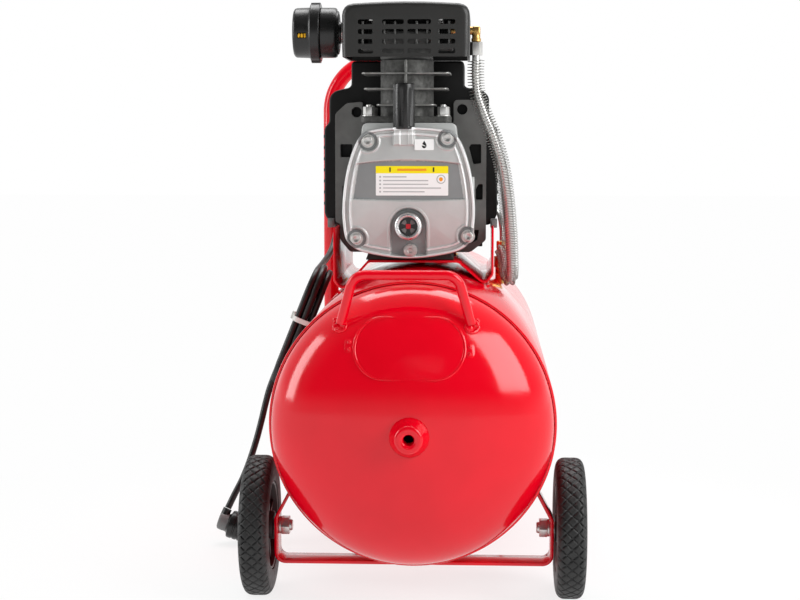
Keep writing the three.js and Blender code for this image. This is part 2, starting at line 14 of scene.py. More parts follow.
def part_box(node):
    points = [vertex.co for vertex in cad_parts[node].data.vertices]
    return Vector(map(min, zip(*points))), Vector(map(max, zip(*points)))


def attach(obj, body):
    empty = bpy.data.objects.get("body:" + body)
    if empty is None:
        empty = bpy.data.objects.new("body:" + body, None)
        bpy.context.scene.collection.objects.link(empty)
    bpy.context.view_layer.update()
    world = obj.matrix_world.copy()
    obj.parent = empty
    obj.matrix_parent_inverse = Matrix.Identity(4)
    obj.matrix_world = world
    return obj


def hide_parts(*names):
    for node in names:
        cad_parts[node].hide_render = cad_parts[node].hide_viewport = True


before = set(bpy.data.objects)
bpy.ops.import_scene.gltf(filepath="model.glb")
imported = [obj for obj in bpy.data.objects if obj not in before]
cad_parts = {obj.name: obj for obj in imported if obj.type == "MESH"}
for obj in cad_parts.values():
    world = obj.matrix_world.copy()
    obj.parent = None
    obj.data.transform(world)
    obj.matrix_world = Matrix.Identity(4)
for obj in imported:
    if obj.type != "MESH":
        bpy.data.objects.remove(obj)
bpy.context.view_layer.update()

# ---- driving dimensions, in millimetres ----
MM = 0.001
GAP = 0.3
RIM_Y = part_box("tank_barrel")[0].y / MM - GAP
TANK_R, TANK_LENGTH, TANK_Z, SHEET = 150, 621, 194, 2.5
DOME_R, DOME_DEPTH = 147, 75
WHEEL_R, WHEEL_D = 75, 50
PUMP_X, SHAFT_Z, CYLINDER_D = -10, 430, 190
FILTER_D, FILTER_Z = 200, 609
HOOD_LEFT, HOOD_RIGHT, HOOD_BOTTOM, HOOD_TOP = -85, 57, 580, 641
OUTLET_X, OUTLET_D = -10, 490
COVER_BACK = 150
CORD_R = 4
HANK_D, HANK_TILT, HANK_HALF = 340, math.radians(21.9), 45
OUTER_FOLD, INNER_FOLD = 36.1, 28


def place(x, d, z):
    """A point of the assembly as a vector in the row frame, in metres."""
    return Vector((x * MM, (d + RIM_Y) * MM, z * MM))


# ---- camera, floor and lights ----
def camera():
    data = bpy.data.cameras.new("camera")
    data.lens = 75.85
    data.clip_end = 50
    obj = bpy.data.objects.new("camera", data)
    obj.location = (0.0711, -2.0301, 0.4927)
    obj.rotation_euler = (math.radians(90 - 5.564), 0, math.radians(2.777))
    bpy.context.scene.collection.objects.link(obj)
    bpy.context.scene.camera = obj


def softbox(name, location, target, width, height, power):
    data = bpy.data.lights.new(name, "AREA")
    data.shape = "RECTANGLE"
    data.size = width
    data.size_y = height
    data.energy = power
    obj = bpy.data.objects.new(name, data)
    obj.location = location
    obj.rotation_euler = (Vector(target) - Vector(location)).to_track_quat("-Z", "Y").to_euler()
    bpy.context.scene.collection.objects.link(obj)
    return obj


def map_range(nodes, low, high, to_low, to_high):
    node = nodes.new("ShaderNodeMapRange")
    limits = {"From Min": low, "From Max": high, "To Min": to_low, "To Max": to_high}
    for name, number in limits.items():
        node.inputs[name].default_value = number
    return node


def floor():
    """White paper that fades, away from the object, into a plain glow as bright as the background."""
    mesh = bpy.data.meshes.new("floor")
    half = 12
    corners = [(-half, -half, 0), (half, -half, 0), (half, half, 0), (-half, half, 0)]
    mesh.from_pydata(corners, [], [(0, 1, 2, 3)])
    sheet = bpy.data.objects.new("floor", mesh)
    bpy.context.scene.collection.objects.link(sheet)
    paper = bpy.data.materials.new("floor_paper")
    paper.use_nodes = True
    nodes, links = paper.node_tree.nodes, paper.node_tree.links
    shader = nodes["Principled BSDF"]
    shader.inputs["Base Color"].default_value = (0.94, 0.94, 0.94, 1)
    shader.inputs["Roughness"].default_value = 0.8
    shader.inputs["Specular IOR Level"].default_value = 0.1
    glow = nodes.new("ShaderNodeEmission")
    glow.inputs["Color"].default_value = (0.99, 0.99, 0.99, 1)
    place_on_floor = nodes.new("ShaderNodeTexCoord")
    distance = nodes.new("ShaderNodeVectorMath")
    distance.operation = "LENGTH"
    fade = map_range(nodes, 0.0, 0.7, 0.72, 1.0)
    fade.interpolation_type = "SMOOTHSTEP"
    blend = nodes.new("ShaderNodeMixShader")
    links.new(place_on_floor.outputs["Object"], distance.inputs[0])
    links.new(distance.outputs["Value"], fade.inputs["Value"])
    links.new(fade.outputs[0], blend.inputs[0])
    links.new(shader.outputs[0], blend.inputs[1])
    links.new(glow.outputs[0], blend.inputs[2])
    links.new(blend.outputs[0], nodes["Material Output"].inputs[0])
    mesh.materials.append(paper)


def studio():
    """A white background, with a room for the paint to mirror: bright behind, dim in front."""
    world = bpy.data.worlds.new("studio")
    bpy.context.scene.world = world
    world.use_nodes = True
    nodes, links = world.node_tree.nodes, world.node_tree.links
    nodes.clear()
    output = nodes.new("ShaderNodeOutputWorld")
    seen = nodes.new("ShaderNodeBackground")
    seen.inputs["Color"].default_value = (1, 1, 1, 1)
    room = nodes.new("ShaderNodeBackground")
    ray = nodes.new("ShaderNodeLightPath")
    mix = nodes.new("ShaderNodeMixShader")
    coordinates = nodes.new("ShaderNodeTexCoord")
    axes = nodes.new("ShaderNodeSeparateXYZ")
    backward = map_range(nodes, -0.5, 0.6, 0.08, 0.95)
    horizon = map_range(nodes, 0.0, 0.2, 0.6, 0.0)
    horizon.interpolation_type = "SMOOTHSTEP"
    total = nodes.new("ShaderNodeMath")
    links.new(coordinates.outputs["Generated"], axes.inputs[0])
    links.new(axes.outputs["Y"], backward.inputs["Value"])
    links.new(axes.outputs["Z"], horizon.inputs["Value"])
    links.new(backward.outputs[0], total.inputs[0])
    links.new(horizon.outputs[0], total.inputs[1])
    links.new(total.outputs[0], room.inputs["Strength"])
    links.new(ray.outputs["Is Camera Ray"], mix.inputs[0])
    links.new(room.outputs[0], mix.inputs[1])
    links.new(seen.outputs[0], mix.inputs[2])
    links.new(mix.outputs[0], output.inputs[0])

    softbox("left_box", (-2.0, -0.35, 1.0), (0, 0, 0.3), 0.6, 1.3, 17)
    softbox("right_box", (1.6, -1.0, 1.2), (0, 0, 0.3), 1.2, 1.3, 31)
    softbox("top_box", (0, 0.8, 2.2), (0, 0.1, 0), 2.0, 1.0, 32)
    fill = softbox("front_fill", (0.3, -3.2, 1.5), (0, 0, 0.35), 1.0, 0.6, 20)
    fill.visible_glossy = False
    bpy.context.scene.view_settings.view_transform = "Standard"


# ---- materials ----
MATERIALS = {}


class Look:
    """A principled material whose colour, roughness and bump come from noise at real scales."""

    def __init__(self, name, colour, metallic=0.0, roughness=0.5, coat=0.0, specular=0.5):
        self.material = bpy.data.materials.new(name)
        self.material.use_nodes = True
        self.nodes = self.material.node_tree.nodes
        self.links = self.material.node_tree.links
        self.shader = self.nodes["Principled BSDF"]
        self.colour = (*colour, 1)
        self.roughness = roughness
        self.height = None
        self.set("Base Color", self.colour)
        self.set("Metallic", metallic)
        self.set("Roughness", roughness)
        self.set("Specular IOR Level", specular)
        self.set("Coat Weight", coat)
        self.set("Coat Roughness", 0.04)
        self.place = self.nodes.new("ShaderNodeTexCoord").outputs["Object"]
        MATERIALS[name] = self.material

    def set(self, socket, value):
        self.shader.inputs[socket].default_value = value

    def noise(self, size_mm, detail=3.0):
        """Noise whose blobs are about size_mm across, from 0 to 1."""
        node = self.nodes.new("ShaderNodeTexNoise")
        node.inputs["Scale"].default_value = 1000.0 / size_mm
        node.inputs["Detail"].default_value = detail
        node.inputs["Roughness"].default_value = 0.55
        self.links.new(self.place, node.inputs["Vector"])
        return node.outputs["Fac"]

    def ranged(self, value, low, high, to_low, to_high):
        node = map_range(self.nodes, low, high, to_low, to_high)
        self.links.new(value, node.inputs["Value"])
        return node.outputs[0]

    def vary_roughness(self, value, spread):
        low, high = max(self.roughness - spread, 0.02), self.roughness + spread
        self.links.new(self.ranged(value, 0.3, 0.7, low, high), self.shader.inputs["Roughness"])
        return self

    def vary_colour(self, value, other):
        mix = self.nodes.new("ShaderNodeMix")
        mix.data_type = "RGBA"
        mix.inputs[6].default_value = self.colour
        mix.inputs[7].default_value = (*other, 1)
        self.links.new(self.ranged(value, 0.35, 0.65, 0, 1), mix.inputs[0])
        self.links.new(mix.outputs[2], self.shader.inputs["Base Color"])
        return self

    def bump(self, value, depth_mm, strength=1.0):
        node = self.nodes.new("ShaderNodeBump")
        node.inputs["Distance"].default_value = depth_mm * MM
        node.inputs["Strength"].default_value = strength
        self.links.new(value, node.inputs["Height"])
        if self.height:
            self.links.new(self.height, node.inputs["Normal"])
        self.height = node.outputs[0]
        self.links.new(self.height, self.shader.inputs["Normal"])
        return self


def paint_looks():
    red = Look("red_enamel", (0.78, 0.0, 0.012), roughness=0.12)
    red.vary_colour(red.noise(60, 2), (0.73, 0.0, 0.01)).vary_roughness(red.noise(25, 4), 0.035)
    red.bump(red.noise(9, 2), 0.06, 0.3)
    plastic = Look("red_plastic", (0.6, 0.005, 0.01), roughness=0.3)
    plastic.vary_roughness(plastic.noise(8), 0.06).bump(plastic.noise(5), 0.03, 0.3)


def metal_looks():
    for name, colour, other in (("cast_aluminium", (0.57, 0.58, 0.57), (0.53, 0.54, 0.53)),
                                # A darker copy of the cast aluminium: painted shade for the cover's
                                # recesses.
                                ("cast_aluminium_painted_shade", (0.27, 0.28, 0.28), (0.25, 0.26, 0.26)),
                                # A lighter copy of the cast aluminium: painted highlight for the cover's
                                # rim and ridge tops.
                                ("cast_aluminium_painted_highlight", (0.86, 0.87, 0.87), (0.8, 0.81, 0.81))):
        cast = Look(name, colour, metallic=0.35, roughness=0.4)
        cast.vary_colour(cast.noise(22, 4), other).vary_roughness(cast.noise(4, 4), 0.05)
        cast.bump(cast.noise(3.5, 3), 0.05, 0.25)
    machined = Look("machined_aluminium", (0.8, 0.81, 0.81), metallic=0.9, roughness=0.28)
    machined.vary_roughness(machined.noise(4, 4), 0.05)
    iron = Look("cast_iron", (0.05, 0.05, 0.047), metallic=0.4, roughness=0.55)
    iron.vary_colour(iron.noise(5, 5), (0.1, 0.1, 0.095)).vary_roughness(iron.noise(3, 4), 0.1)
    iron.bump(iron.noise(3, 4), 0.25, 0.5)
    edge = Look("fin_iron", (0.3, 0.3, 0.29), metallic=0.7, roughness=0.4)
    edge.vary_colour(edge.noise(5, 5), (0.2, 0.2, 0.19)).bump(edge.noise(3, 3), 0.1, 0.4)
    dark = Look("dark_casting", (0.115, 0.115, 0.11), metallic=0.25, roughness=0.45)
    dark.vary_colour(dark.noise(18, 4), (0.14, 0.14, 0.135)).vary_roughness(dark.noise(4, 3), 0.05)
    dark.bump(dark.noise(3, 3), 0.04, 0.25)
    inner = Look("head_casting", (0.09, 0.09, 0.088), metallic=0.4, roughness=0.5)
    inner.vary_colour(inner.noise(8, 4), (0.14, 0.14, 0.135)).bump(inner.noise(3, 3), 0.06, 0.3)
    zinc = Look("zinc_steel", (0.72, 0.71, 0.68), metallic=0.95, roughness=0.36)
    zinc.vary_colour(zinc.noise(6, 3), (0.64, 0.64, 0.63)).vary_roughness(zinc.noise(3, 4), 0.06)
    wire = Look("fin_wire", (0.33, 0.33, 0.315), metallic=0.85, roughness=0.32)
    wire.vary_roughness(wire.noise(4), 0.06)
    brass = Look("brass", (0.72, 0.45, 0.15), metallic=0.95, roughness=0.26)
    brass.vary_colour(brass.noise(8, 4), (0.62, 0.37, 0.12)).vary_roughness(brass.noise(3, 4), 0.06)


def plastic_looks():
    textured = Look("textured_plastic", (0.017, 0.017, 0.016), roughness=0.4)
    textured.vary_roughness(textured.noise(12, 3), 0.04).bump(textured.noise(4, 4), 0.03, 0.25)
    shroud = Look("shroud_plastic", (0.005, 0.005, 0.005), roughness=0.5, specular=0.25)
    shroud.vary_roughness(shroud.noise(9, 3), 0.06).bump(shroud.noise(5, 3), 0.03, 0.3)
    smooth = Look("smooth_plastic", (0.008, 0.008, 0.008), roughness=0.3)
    smooth.vary_roughness(smooth.noise(7, 3), 0.05).bump(smooth.noise(6), 0.02, 0.25)
    rim = Look("rim_plastic", (0.03, 0.01, 0.01), roughness=0.38)
    rim.vary_roughness(rim.noise(9, 3), 0.06).bump(rim.noise(5), 0.03, 0.3)
    grey = Look("grey_plastic", (0.16, 0.16, 0.16), roughness=0.5)
    grey.vary_roughness(grey.noise(6, 3), 0.06).bump(grey.noise(4), 0.03, 0.3)
    nylon = Look("white_nylon", (0.75, 0.75, 0.72), roughness=0.45)
    nylon.vary_roughness(nylon.noise(3, 3), 0.08).bump(nylon.noise(3), 0.03, 0.3)
    tyre = Look("tyre_rubber", (0.009, 0.009, 0.009), roughness=0.52)
    tyre.vary_colour(tyre.noise(16, 5), (0.018, 0.018, 0.018)).vary_roughness(tyre.noise(6, 4), 0.08)
    tyre.bump(tyre.noise(4, 4), 0.06, 0.3)
    rubber = Look("rubber", (0.01, 0.01, 0.01), roughness=0.65)
    rubber.vary_colour(rubber.noise(10, 4), (0.018, 0.018, 0.018)).bump(rubber.noise(4, 4), 0.06, 0.3)
    jacket = Look("cable_jacket", (0.009, 0.009, 0.009), roughness=0.38)
    jacket.vary_roughness(jacket.noise(8, 3), 0.06).bump(jacket.noise(5, 3), 0.04, 0.3)
    foam = Look("yellow_foam", (0.8, 0.45, 0.02), roughness=0.9)
    foam.vary_colour(foam.noise(3), (0.62, 0.32, 0.015)).bump(foam.noise(3, 3), 0.2, 0.5)


def label_looks():
    for name, colour in (("label_white", (0.86, 0.86, 0.85)), ("label_yellow", (0.9, 0.76, 0.0)),
                         ("label_grey", (0.42, 0.42, 0.42)), ("label_orange", (0.85, 0.3, 0.01)),
                         ("label_ink", (0.01, 0.01, 0.01)), ("sight_red", (0.5, 0.004, 0.015))):
        look = Look(name, colour, roughness=0.35)
        look.vary_roughness(look.noise(6, 2), 0.05)
    well = Look("sight_well", (0.008, 0.008, 0.008), roughness=0.2)
    well.vary_roughness(well.noise(5), 0.04)
    glass = Look("clear_glass", (1, 1, 1), roughness=0.03)
    glass.set("Transmission Weight", 1.0)
    glass.vary_roughness(glass.noise(5), 0.02)


def finish_piece(obj, look, *nodes, slot=None, body="compressor"):
    """Gives a piece its look and its body, and hides the CAD nodes it replaces; the slot is not used."""
    obj.data.materials.append(MATERIALS[look])
    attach(obj, body)
    if nodes:
        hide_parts(*nodes)
    return obj


def mesh_piece(name, points, faces, crease=32):
    """A mesh object from points in millimetres, smooth except along edges sharper than crease degrees."""
    mesh = bpy.data.meshes.new(name)
    mesh.from_pydata([place(*p) for p in points], [], faces)
    obj = bpy.data.objects.new(name, mesh)
    bpy.context.scene.collection.objects.link(obj)
    outward(mesh)
    mesh.polygons.foreach_set("use_smooth", [True] * len(mesh.polygons))
    mesh.set_sharp_from_angle(angle=math.radians(crease))
    return obj


def outward(mesh):
    shape = bmesh.new()
    shape.from_mesh(mesh)
    bmesh.ops.remove_doubles(shape, verts=shape.verts, dist=1e-6)
    bmesh.ops.recalc_face_normals(shape, faces=shape.faces)
    shape.to_mesh(mesh)
    shape.free()


def ring_faces(count, rows, closed=False):
    """Faces between neighbouring rows of count points, where each row is a ring."""
    faces = []
    for row in range(rows if closed else rows - 1):
        low, high = row * count, (row + 1) % rows * count
        for i in range(count):
            n = (i + 1) % count
            faces.append([low + i, low + n, high + n, high + i])
    return faces


BOX_FACES = [[0, 1, 2, 3], [7, 6, 5, 4], [0, 4, 5, 1], [1, 5, 6, 2], [2, 6, 7, 3], [3, 7, 4, 0]]


def bevel(obj, width, segments=3, angle=35):
    modifier = obj.modifiers.new("bevel", "BEVEL")
    modifier.width = width * MM
    modifier.segments = segments
    modifier.limit_method = "ANGLE"
    modifier.angle_limit = math.radians(angle)
    return obj


def bake_modifiers(obj):
    """A plain mesh object in place of a curve, or of a mesh with modifiers."""
    depsgraph = bpy.context.evaluated_depsgraph_get()
    made = bpy.data.meshes.new_from_object(obj.evaluated_get(depsgraph))
    if obj.type == "MESH":
        obj.modifiers.clear()
        obj.data = made
        made.set_sharp_from_angle(angle=math.radians(35))
        return obj
    name = obj.name
    bpy.data.objects.remove(obj)
    solid = bpy.data.objects.new(name, made)
    bpy.context.scene.collection.objects.link(solid)
    return solid


def boolean(obj, tool, operation="DIFFERENCE"):
    modifier = obj.modifiers.new("cut", "BOOLEAN")
    modifier.operation = operation
    modifier.solver = "EXACT"
    modifier.object = tool
    bake_modifiers(obj)
    bpy.data.objects.remove(tool)
    return obj


def joined(name, parts):
    """One object from several, keeping each one's materials."""
    parts = [bake_modifiers(part) if part.modifiers or part.type == "CURVE" else part for part in parts]
    with bpy.context.temp_override(active_object=parts[0], selected_editable_objects=parts):
        bpy.ops.object.join()
    parts[0].name = name
    return parts[0]


def spun(point, axis, centre, angle):
    """Where a [radius, height] profile point lies after turning by angle about the axis."""
    r, h = point
    a, b = r * math.cos(angle), r * math.sin(angle)
    x, d, z = centre
    if axis == "x":
        return (x + h, d + a, z + b)
    if axis == "y":
        return (x + a, d + h, z + b)
    return (x + a, d + b, z + h)


def lathe(name, profile, axis, centre, segments=96, crease=32):
    """Turns a closed or axis-to-axis profile of [radius, height] points about an axis."""
    closed = profile[0] == profile[-1]
    rows = profile[:-1] if closed else profile
    points, starts = [], []
    for r, h in rows:
        starts.append(len(points))
        steps = 1 if r == 0 else segments
        points += [spun((r, h), axis, centre, 2 * math.pi * k / segments) for k in range(steps)]
    faces = []
    pairs = list(zip(range(len(rows)), range(1, len(rows))))
    if closed:
        pairs.append((len(rows) - 1, 0))
    for i, j in pairs:
        if rows[i][0] == 0 and rows[j][0] == 0:
            continue
        for k in range(segments):
            n = (k + 1) % segments
            low = [starts[i] + (k if rows[i][0] else 0), starts[i] + (n if rows[i][0] else 0)]
            high = [starts[j] + (n if rows[j][0] else 0), starts[j] + (k if rows[j][0] else 0)]
            face = low + high
            faces.append([v for m, v in enumerate(face) if v not in face[:m]])
    return mesh_piece(name, points, faces, crease)


def arc(centre, radius, start, end, steps=8):
    """Points on a circle in a plane, from the start to the end angle in degrees."""
    cx, cy = centre
    angles = [math.radians(start + (end - start) * k / steps) for k in range(steps + 1)]
    return [(cx + radius * math.cos(a), cy + radius * math.sin(a)) for a in angles]


def rounded(points, radius, steps=6, closed=True):
    """A flat outline with its corners rounded as far as its edges allow."""
    made = []
    count = len(points)
    for i, point in enumerate(points):
        here = Vector(point)
        if not closed and i in (0, count - 1):
            made.append(tuple(here))
            continue
        before, after = Vector(points[i - 1]), Vector(points[(i + 1) % count])
        into, away = (before - here), (after - here)
        reach = min(radius, into.length * 0.45, away.length * 0.45)
        start, end = here + into.normalized() * reach, here + away.normalized() * reach
        for k in range(steps + 1):
            t = k / steps
            made.append(tuple(start * (1 - t) ** 2 + here * 2 * t * (1 - t) + end * t * t))
    return made


def slab(name, front, back, crease=32):
    """A closed solid between two rings of as many points."""
    n = len(front)
    faces = [list(range(n)), list(range(2 * n - 1, n - 1, -1)), *ring_faces(n, 2)]
    return mesh_piece(name, [*front, *back], faces, crease)


def prism(name, outline, d0, d1):
    """A flat outline of (x, z) points, extruded from depth d0 to d1."""
    return slab(name, [(x, d0, z) for x, z in outline], [(x, d1, z) for x, z in outline])


def upright(name, outline, z0, z1):
    """A flat outline of (x, d) points, extruded from height z0 to z1."""
    return slab(name, [(x, d, z0) for x, d in outline], [(x, d, z1) for x, d in outline])


def rectangle(x0, y0, x1, y1):
    return [(x0, y0), (x1, y0), (x1, y1), (x0, y1)]


def polar(centre, radius, angle):
    return centre[0] + radius * math.cos(angle), centre[1] + radius * math.sin(angle)


def block(name, low, high, radius=1.0):
    """A box between two corners, with rounded edges."""
    (x0, d0, z0), (x1, d1, z1) = low, high
    return bevel(prism(name, rectangle(x0, z0, x1, z1), d0, d1), radius)


def drum(name, radius, h0, h1, axis, centre, sides=32):
    """A plain cylinder from h0 to h1 along an axis."""
    return lathe(name, [(0, h0), (radius, h0), (radius, h1), (0, h1)], axis, centre, sides)


def bore(obj, radius, h0, h1, axis, centre, sides=32):
    """Cuts a round hole."""
    return boolean(obj, drum("tool", radius, h0, h1, axis, centre, sides))


def nut(name, across, h0, h1, axis, centre, hole=0.0):
    """A hexagon with its corners turned off, and a hole if asked for."""
    radius = across / math.sqrt(3)
    piece = drum(name, radius, h0, h1, axis, centre, 6)
    narrow, wide = across * 0.56 - 1, across * 0.56 + 0.9
    low, high = h0 - 1, h1 + 1
    cap = [(0, low), (narrow, low), (wide, h0 + 1.2), (wide, h1 - 1.2), (narrow, high), (0, high)]
    boolean(piece, lathe("tool", cap, axis, centre, 48), "INTERSECT")
    if hole:
        bore(piece, hole, low, high, axis, centre, 24)
    return bevel(piece, 0.25, 2)


def spline(points, spacing):
    """Points about spacing apart on a centripetal Catmull-Rom curve through given points."""
    p = [Vector(q) for q in points]
    p = [2 * p[0] - p[1], *p, 2 * p[-1] - p[-2]]
    made = []
    for i in range(1, len(p) - 2):
        a, b, c, d = p[i - 1:i + 3]
        t1 = math.sqrt((b - a).length)
        t2 = t1 + math.sqrt((c - b).length)
        t3 = t2 + math.sqrt((d - c).length)
        steps = max(2, round((c - b).length / spacing))
        for k in range(steps):
            t = t1 + (t2 - t1) * k / steps
            a1 = a * (t1 - t) / t1 + b * t / t1
            a2 = b * (t2 - t) / (t2 - t1) + c * (t - t1) / (t2 - t1)
            a3 = c * (t3 - t) / (t3 - t2) + d * (t - t2) / (t3 - t2)
            b1 = a1 * (t2 - t) / t2 + a2 * t / t2
            b2 = a2 * (t3 - t) / (t3 - t1) + a3 * (t - t1) / (t3 - t1)
            made.append(b1 * (t2 - t) / (t2 - t1) + b2 * (t - t1) / (t2 - t1))
    made.append(p[-2])
    return made


def rod(name, points, radius, sides=6):
    """A round bar along points in millimetres, as a curve with closed ends."""
    curve = bpy.data.curves.new(name, "CURVE")
    curve.dimensions = "3D"
    curve.bevel_depth = radius * MM
    curve.bevel_resolution = sides
    curve.use_fill_caps = True
    line = curve.splines.new("POLY")
    line.points.add(len(points) - 1)
    for target, point in zip(line.points, points):
        target.co = (*place(*point), 1)
    line.use_smooth = True
    obj = bpy.data.objects.new(name, curve)
    bpy.context.scene.collection.objects.link(obj)
    return obj


def bent(points, radius, steps=8):
    """A polyline in space with its corners replaced by arcs."""
    made = [Vector(points[0])]
    for before, here, after in zip(points, points[1:], points[2:]):
        into = (Vector(here) - Vector(before)).normalized()
        away = (Vector(after) - Vector(here)).normalized()
        turn = into.angle(away)
        start = Vector(here) - into * radius * math.tan(turn / 2)
        inward = (away - into * away.dot(into)).normalized()
        for k in range(steps + 1):
            a = turn * k / steps
            made.append(start + into * radius * math.sin(a) + inward * radius * (1 - math.cos(a)))
    made.append(Vector(points[-1]))
    return made


# ---- power cord ----
def hank_point(height, along, d):
    """A point beside the tank: height from its axis, along down its side, and depth."""
    x = -height * math.cos(HANK_TILT) - along * math.sin(HANK_TILT)
    z = TANK_Z + height * math.sin(HANK_TILT) - along * math.cos(HANK_TILT)
    return Vector((x, d, z))


def fold_radius(run):
    return OUTER_FOLD if run < 4 else INNER_FOLD


def hank_turns():
    """Nine runs of cord, folded to and fro in two nested ovals and three layers."""
    points = []
    run_height = [154.6 + 4.05 * abs(i - 4) for i in range(9)]
    steps, entry = 14, OUTER_FOLD - 4
    for k in range(steps):
        a = math.pi / 2 * k / steps
        along = -HANK_HALF - entry * math.cos(a)
        points.append(hank_point(run_height[0], along, HANK_D - 4 - entry * math.sin(a)))
    for i, height in enumerate(run_height):
        across = -1 if i % 2 == 0 else 1
        side = HANK_D - fold_radius(i) if across < 0 else HANK_D + (OUTER_FOLD if i < 5 else INNER_FOLD)
        start = HANK_HALF * across
        for k in range(6):
            points.append(hank_point(height, start * (1 - k / 3), side))
        if i == 8:
            break
        next_side = HANK_D - across * fold_radius(i + 1)
        middle, fold = (side + next_side) / 2, abs(next_side - side) / 2
        for k in range(steps):
            a = math.pi * k / steps
            h = height + (run_height[i + 1] - height) * k / steps
            along = -start - across * fold * math.sin(a)
            points.append(hank_point(h, along, middle + across * fold * math.cos(a)))
    return points


CORD_LEAD = [
    (-72.7, 485, 452), (-84, 484.5, 451), (-96, 482, 445), (-107, 477, 433), (-114, 470, 416),
    (-116.5, 461, 394), (-117, 450, 371), (-119.5, 434, 353), (-123, 413, 342.5), (-126, 392, 336.5),
    (-127.8, 372, 333),
]
CORD_TAIL = [
    (-193, 310.5, 166), (-198, 306, 144), (-204, 300, 120), (-211, 293, 97), (-219, 286, 76),
    (-227.5, 280, 59), (-235.5, 274.6, 42.2),
]


def cord():
    turns = hank_turns()
    first, last = turns[0], hank_point(170.8, 79, 312)
    lead = spline([*CORD_LEAD, first], 4)[:-1]
    tail = spline([turns[-1], last, *CORD_TAIL], 4)
    path = lead + turns[:-1] + tail
    flex = rod("mains_cord", path, CORD_R, 5)
    finish_piece(flex, "cable_jacket", "power_lead", "cord_hank", "cord_tail")
    pieces = [mains_plug(), cord_tie(), strain_relief()]


def plug_point(x, y, z):
    """The plug's own axes: x along its pins, turned to lean 18 degrees down, on the floor."""
    turn = math.radians(18)
    return (x * math.cos(turn) + z * math.sin(turn) - 246.5, y + 271.5,
            -x * math.sin(turn) + z * math.cos(turn) + 28.3)


def plug_lathe(name, profile, y=0.0, segments=64):
    rows = lathe(name, profile, "x", (0, y, 0), segments)
    for vertex in rows.data.vertices:
        x, d, z = vertex.co.x / MM, vertex.co.y / MM - RIM_Y, vertex.co.z / MM
        vertex.co = place(*plug_point(x, d, z))
    return rows


def mains_plug():
    cap = [(0, 0), (8, 0), (9.6, 0.8), (10.4, 2.2), (10.8, 5), (10.8, 11.5), (0, 11.5)]
    grey = plug_lathe("plug_cap", cap)
    body = [(0, 11.6), (11, 11.6), (12.2, 13), (16, 14.4), (16.8, 16.5), (16.8, 20), (16.1, 20.6),
            (16.1, 22), (16.8, 22.6), (16.8, 26), (16.1, 26.6), (16.1, 28), (16.8, 28.6), (16.8, 36.4),
            (16, 37.6), (0, 37.8)]
    shell = plug_lathe("mains_plug_body", body)
    entry = rod("plug_entry", [plug_point(5, 0, 6), plug_point(5.6, 1.4, 11), plug_point(6.2, 2.9, 16)],
                5.4, 5)
    finish_piece(entry, "cable_jacket", slot="black_plastic")
    pins = []
    for y in (-9.5, 9.5):
        pin = [(0, 37.5), (2.4, 37.5), (2.4, 53), (2.1, 55.4), (1.2, 56.7), (0, 57)]
        pins.append(plug_lathe("plug_pin", pin, y, 24))
    for pin in pins:
        pin.data.materials.append(MATERIALS["brass"])
    grey.data.materials.append(MATERIALS["grey_plastic"])
    shell.data.materials.append(MATERIALS["smooth_plastic"])
    whole = joined("mains_plug_assembly", [shell, grey, *pins])
    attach(whole, "compressor")
    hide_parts("mains_plug")
    entry.parent = whole
    return whole


def cord_tie():
    """A white band round the hank's nine runs."""
    outline = rounded(rectangle(-42.5, 149.2, 42.5, 176.4), 10, 8)
    inner = rounded(rectangle(-41, 150.2, 41, 175.4), 9, 8)
    points = []
    for ring_points, along in ((outline, -3), (outline, 3), (inner, 3), (inner, -3)):
        points += [tuple(hank_point(height, along - 14, HANK_D + y)) for y, height in ring_points]
    band = mesh_piece("cord_tie", points, ring_faces(len(outline), 4, closed=True))
    corners = rectangle(-18.5, 322, -9.5, 331)
    lock = [tuple(hank_point(height, along, d)) for height in (176.2, 180.4) for along, d in corners]
    tie = joined("cord_tie", [band, bevel(mesh_piece("tie_lock", lock, BOX_FACES), 0.8)])
    tie.data.materials.clear()
    return finish_piece(tie, "white_nylon")


def strain_relief():
    """A ribbed, tapering rubber sleeve where the cord leaves the pressure switch."""
    profile = [(4.15, -0.3), (7.5, -0.3), (7.5, -3), (6.9, -3.6)]
    for i in range(6):
        start = -6 - 4 * i
        wide = 6.9 - 0.32 * i
        profile += [(wide, start), (wide - 0.9, start - 0.6), (wide - 0.9, start - 1.8),
                    (wide - 0.2, start - 2.4)]
    profile += [(4.9, -30.1), (4.15, -30.3), (4.15, -0.3)]
    sleeve = lathe("strain_relief_sleeve", profile, "x", (OUTLET_X - 32, OUTLET_D - 5, 452), 48)
    return finish_piece(sleeve, "rubber", "strain_relief")


# ---- tank ----
def dome_profile(radius, depth, hole=0.0, steps=40):
    last = math.acos(hole / radius)
    return [(radius * math.cos(last * k / steps), -depth * math.sin(last * k / steps))
            for k in range(steps + 1)]


def weld_bead(name, path, radius, seed):
    """A short uneven bead of painted weld."""
    bead = bake_modifiers(rod(name, path, radius, 4))
    for vertex in bead.data.vertices:
        shift = noise.noise_vector(vertex.co * 330 + Vector((seed, 0, 0)))
        vertex.co += shift * radius * 0.3 * MM
    return bead


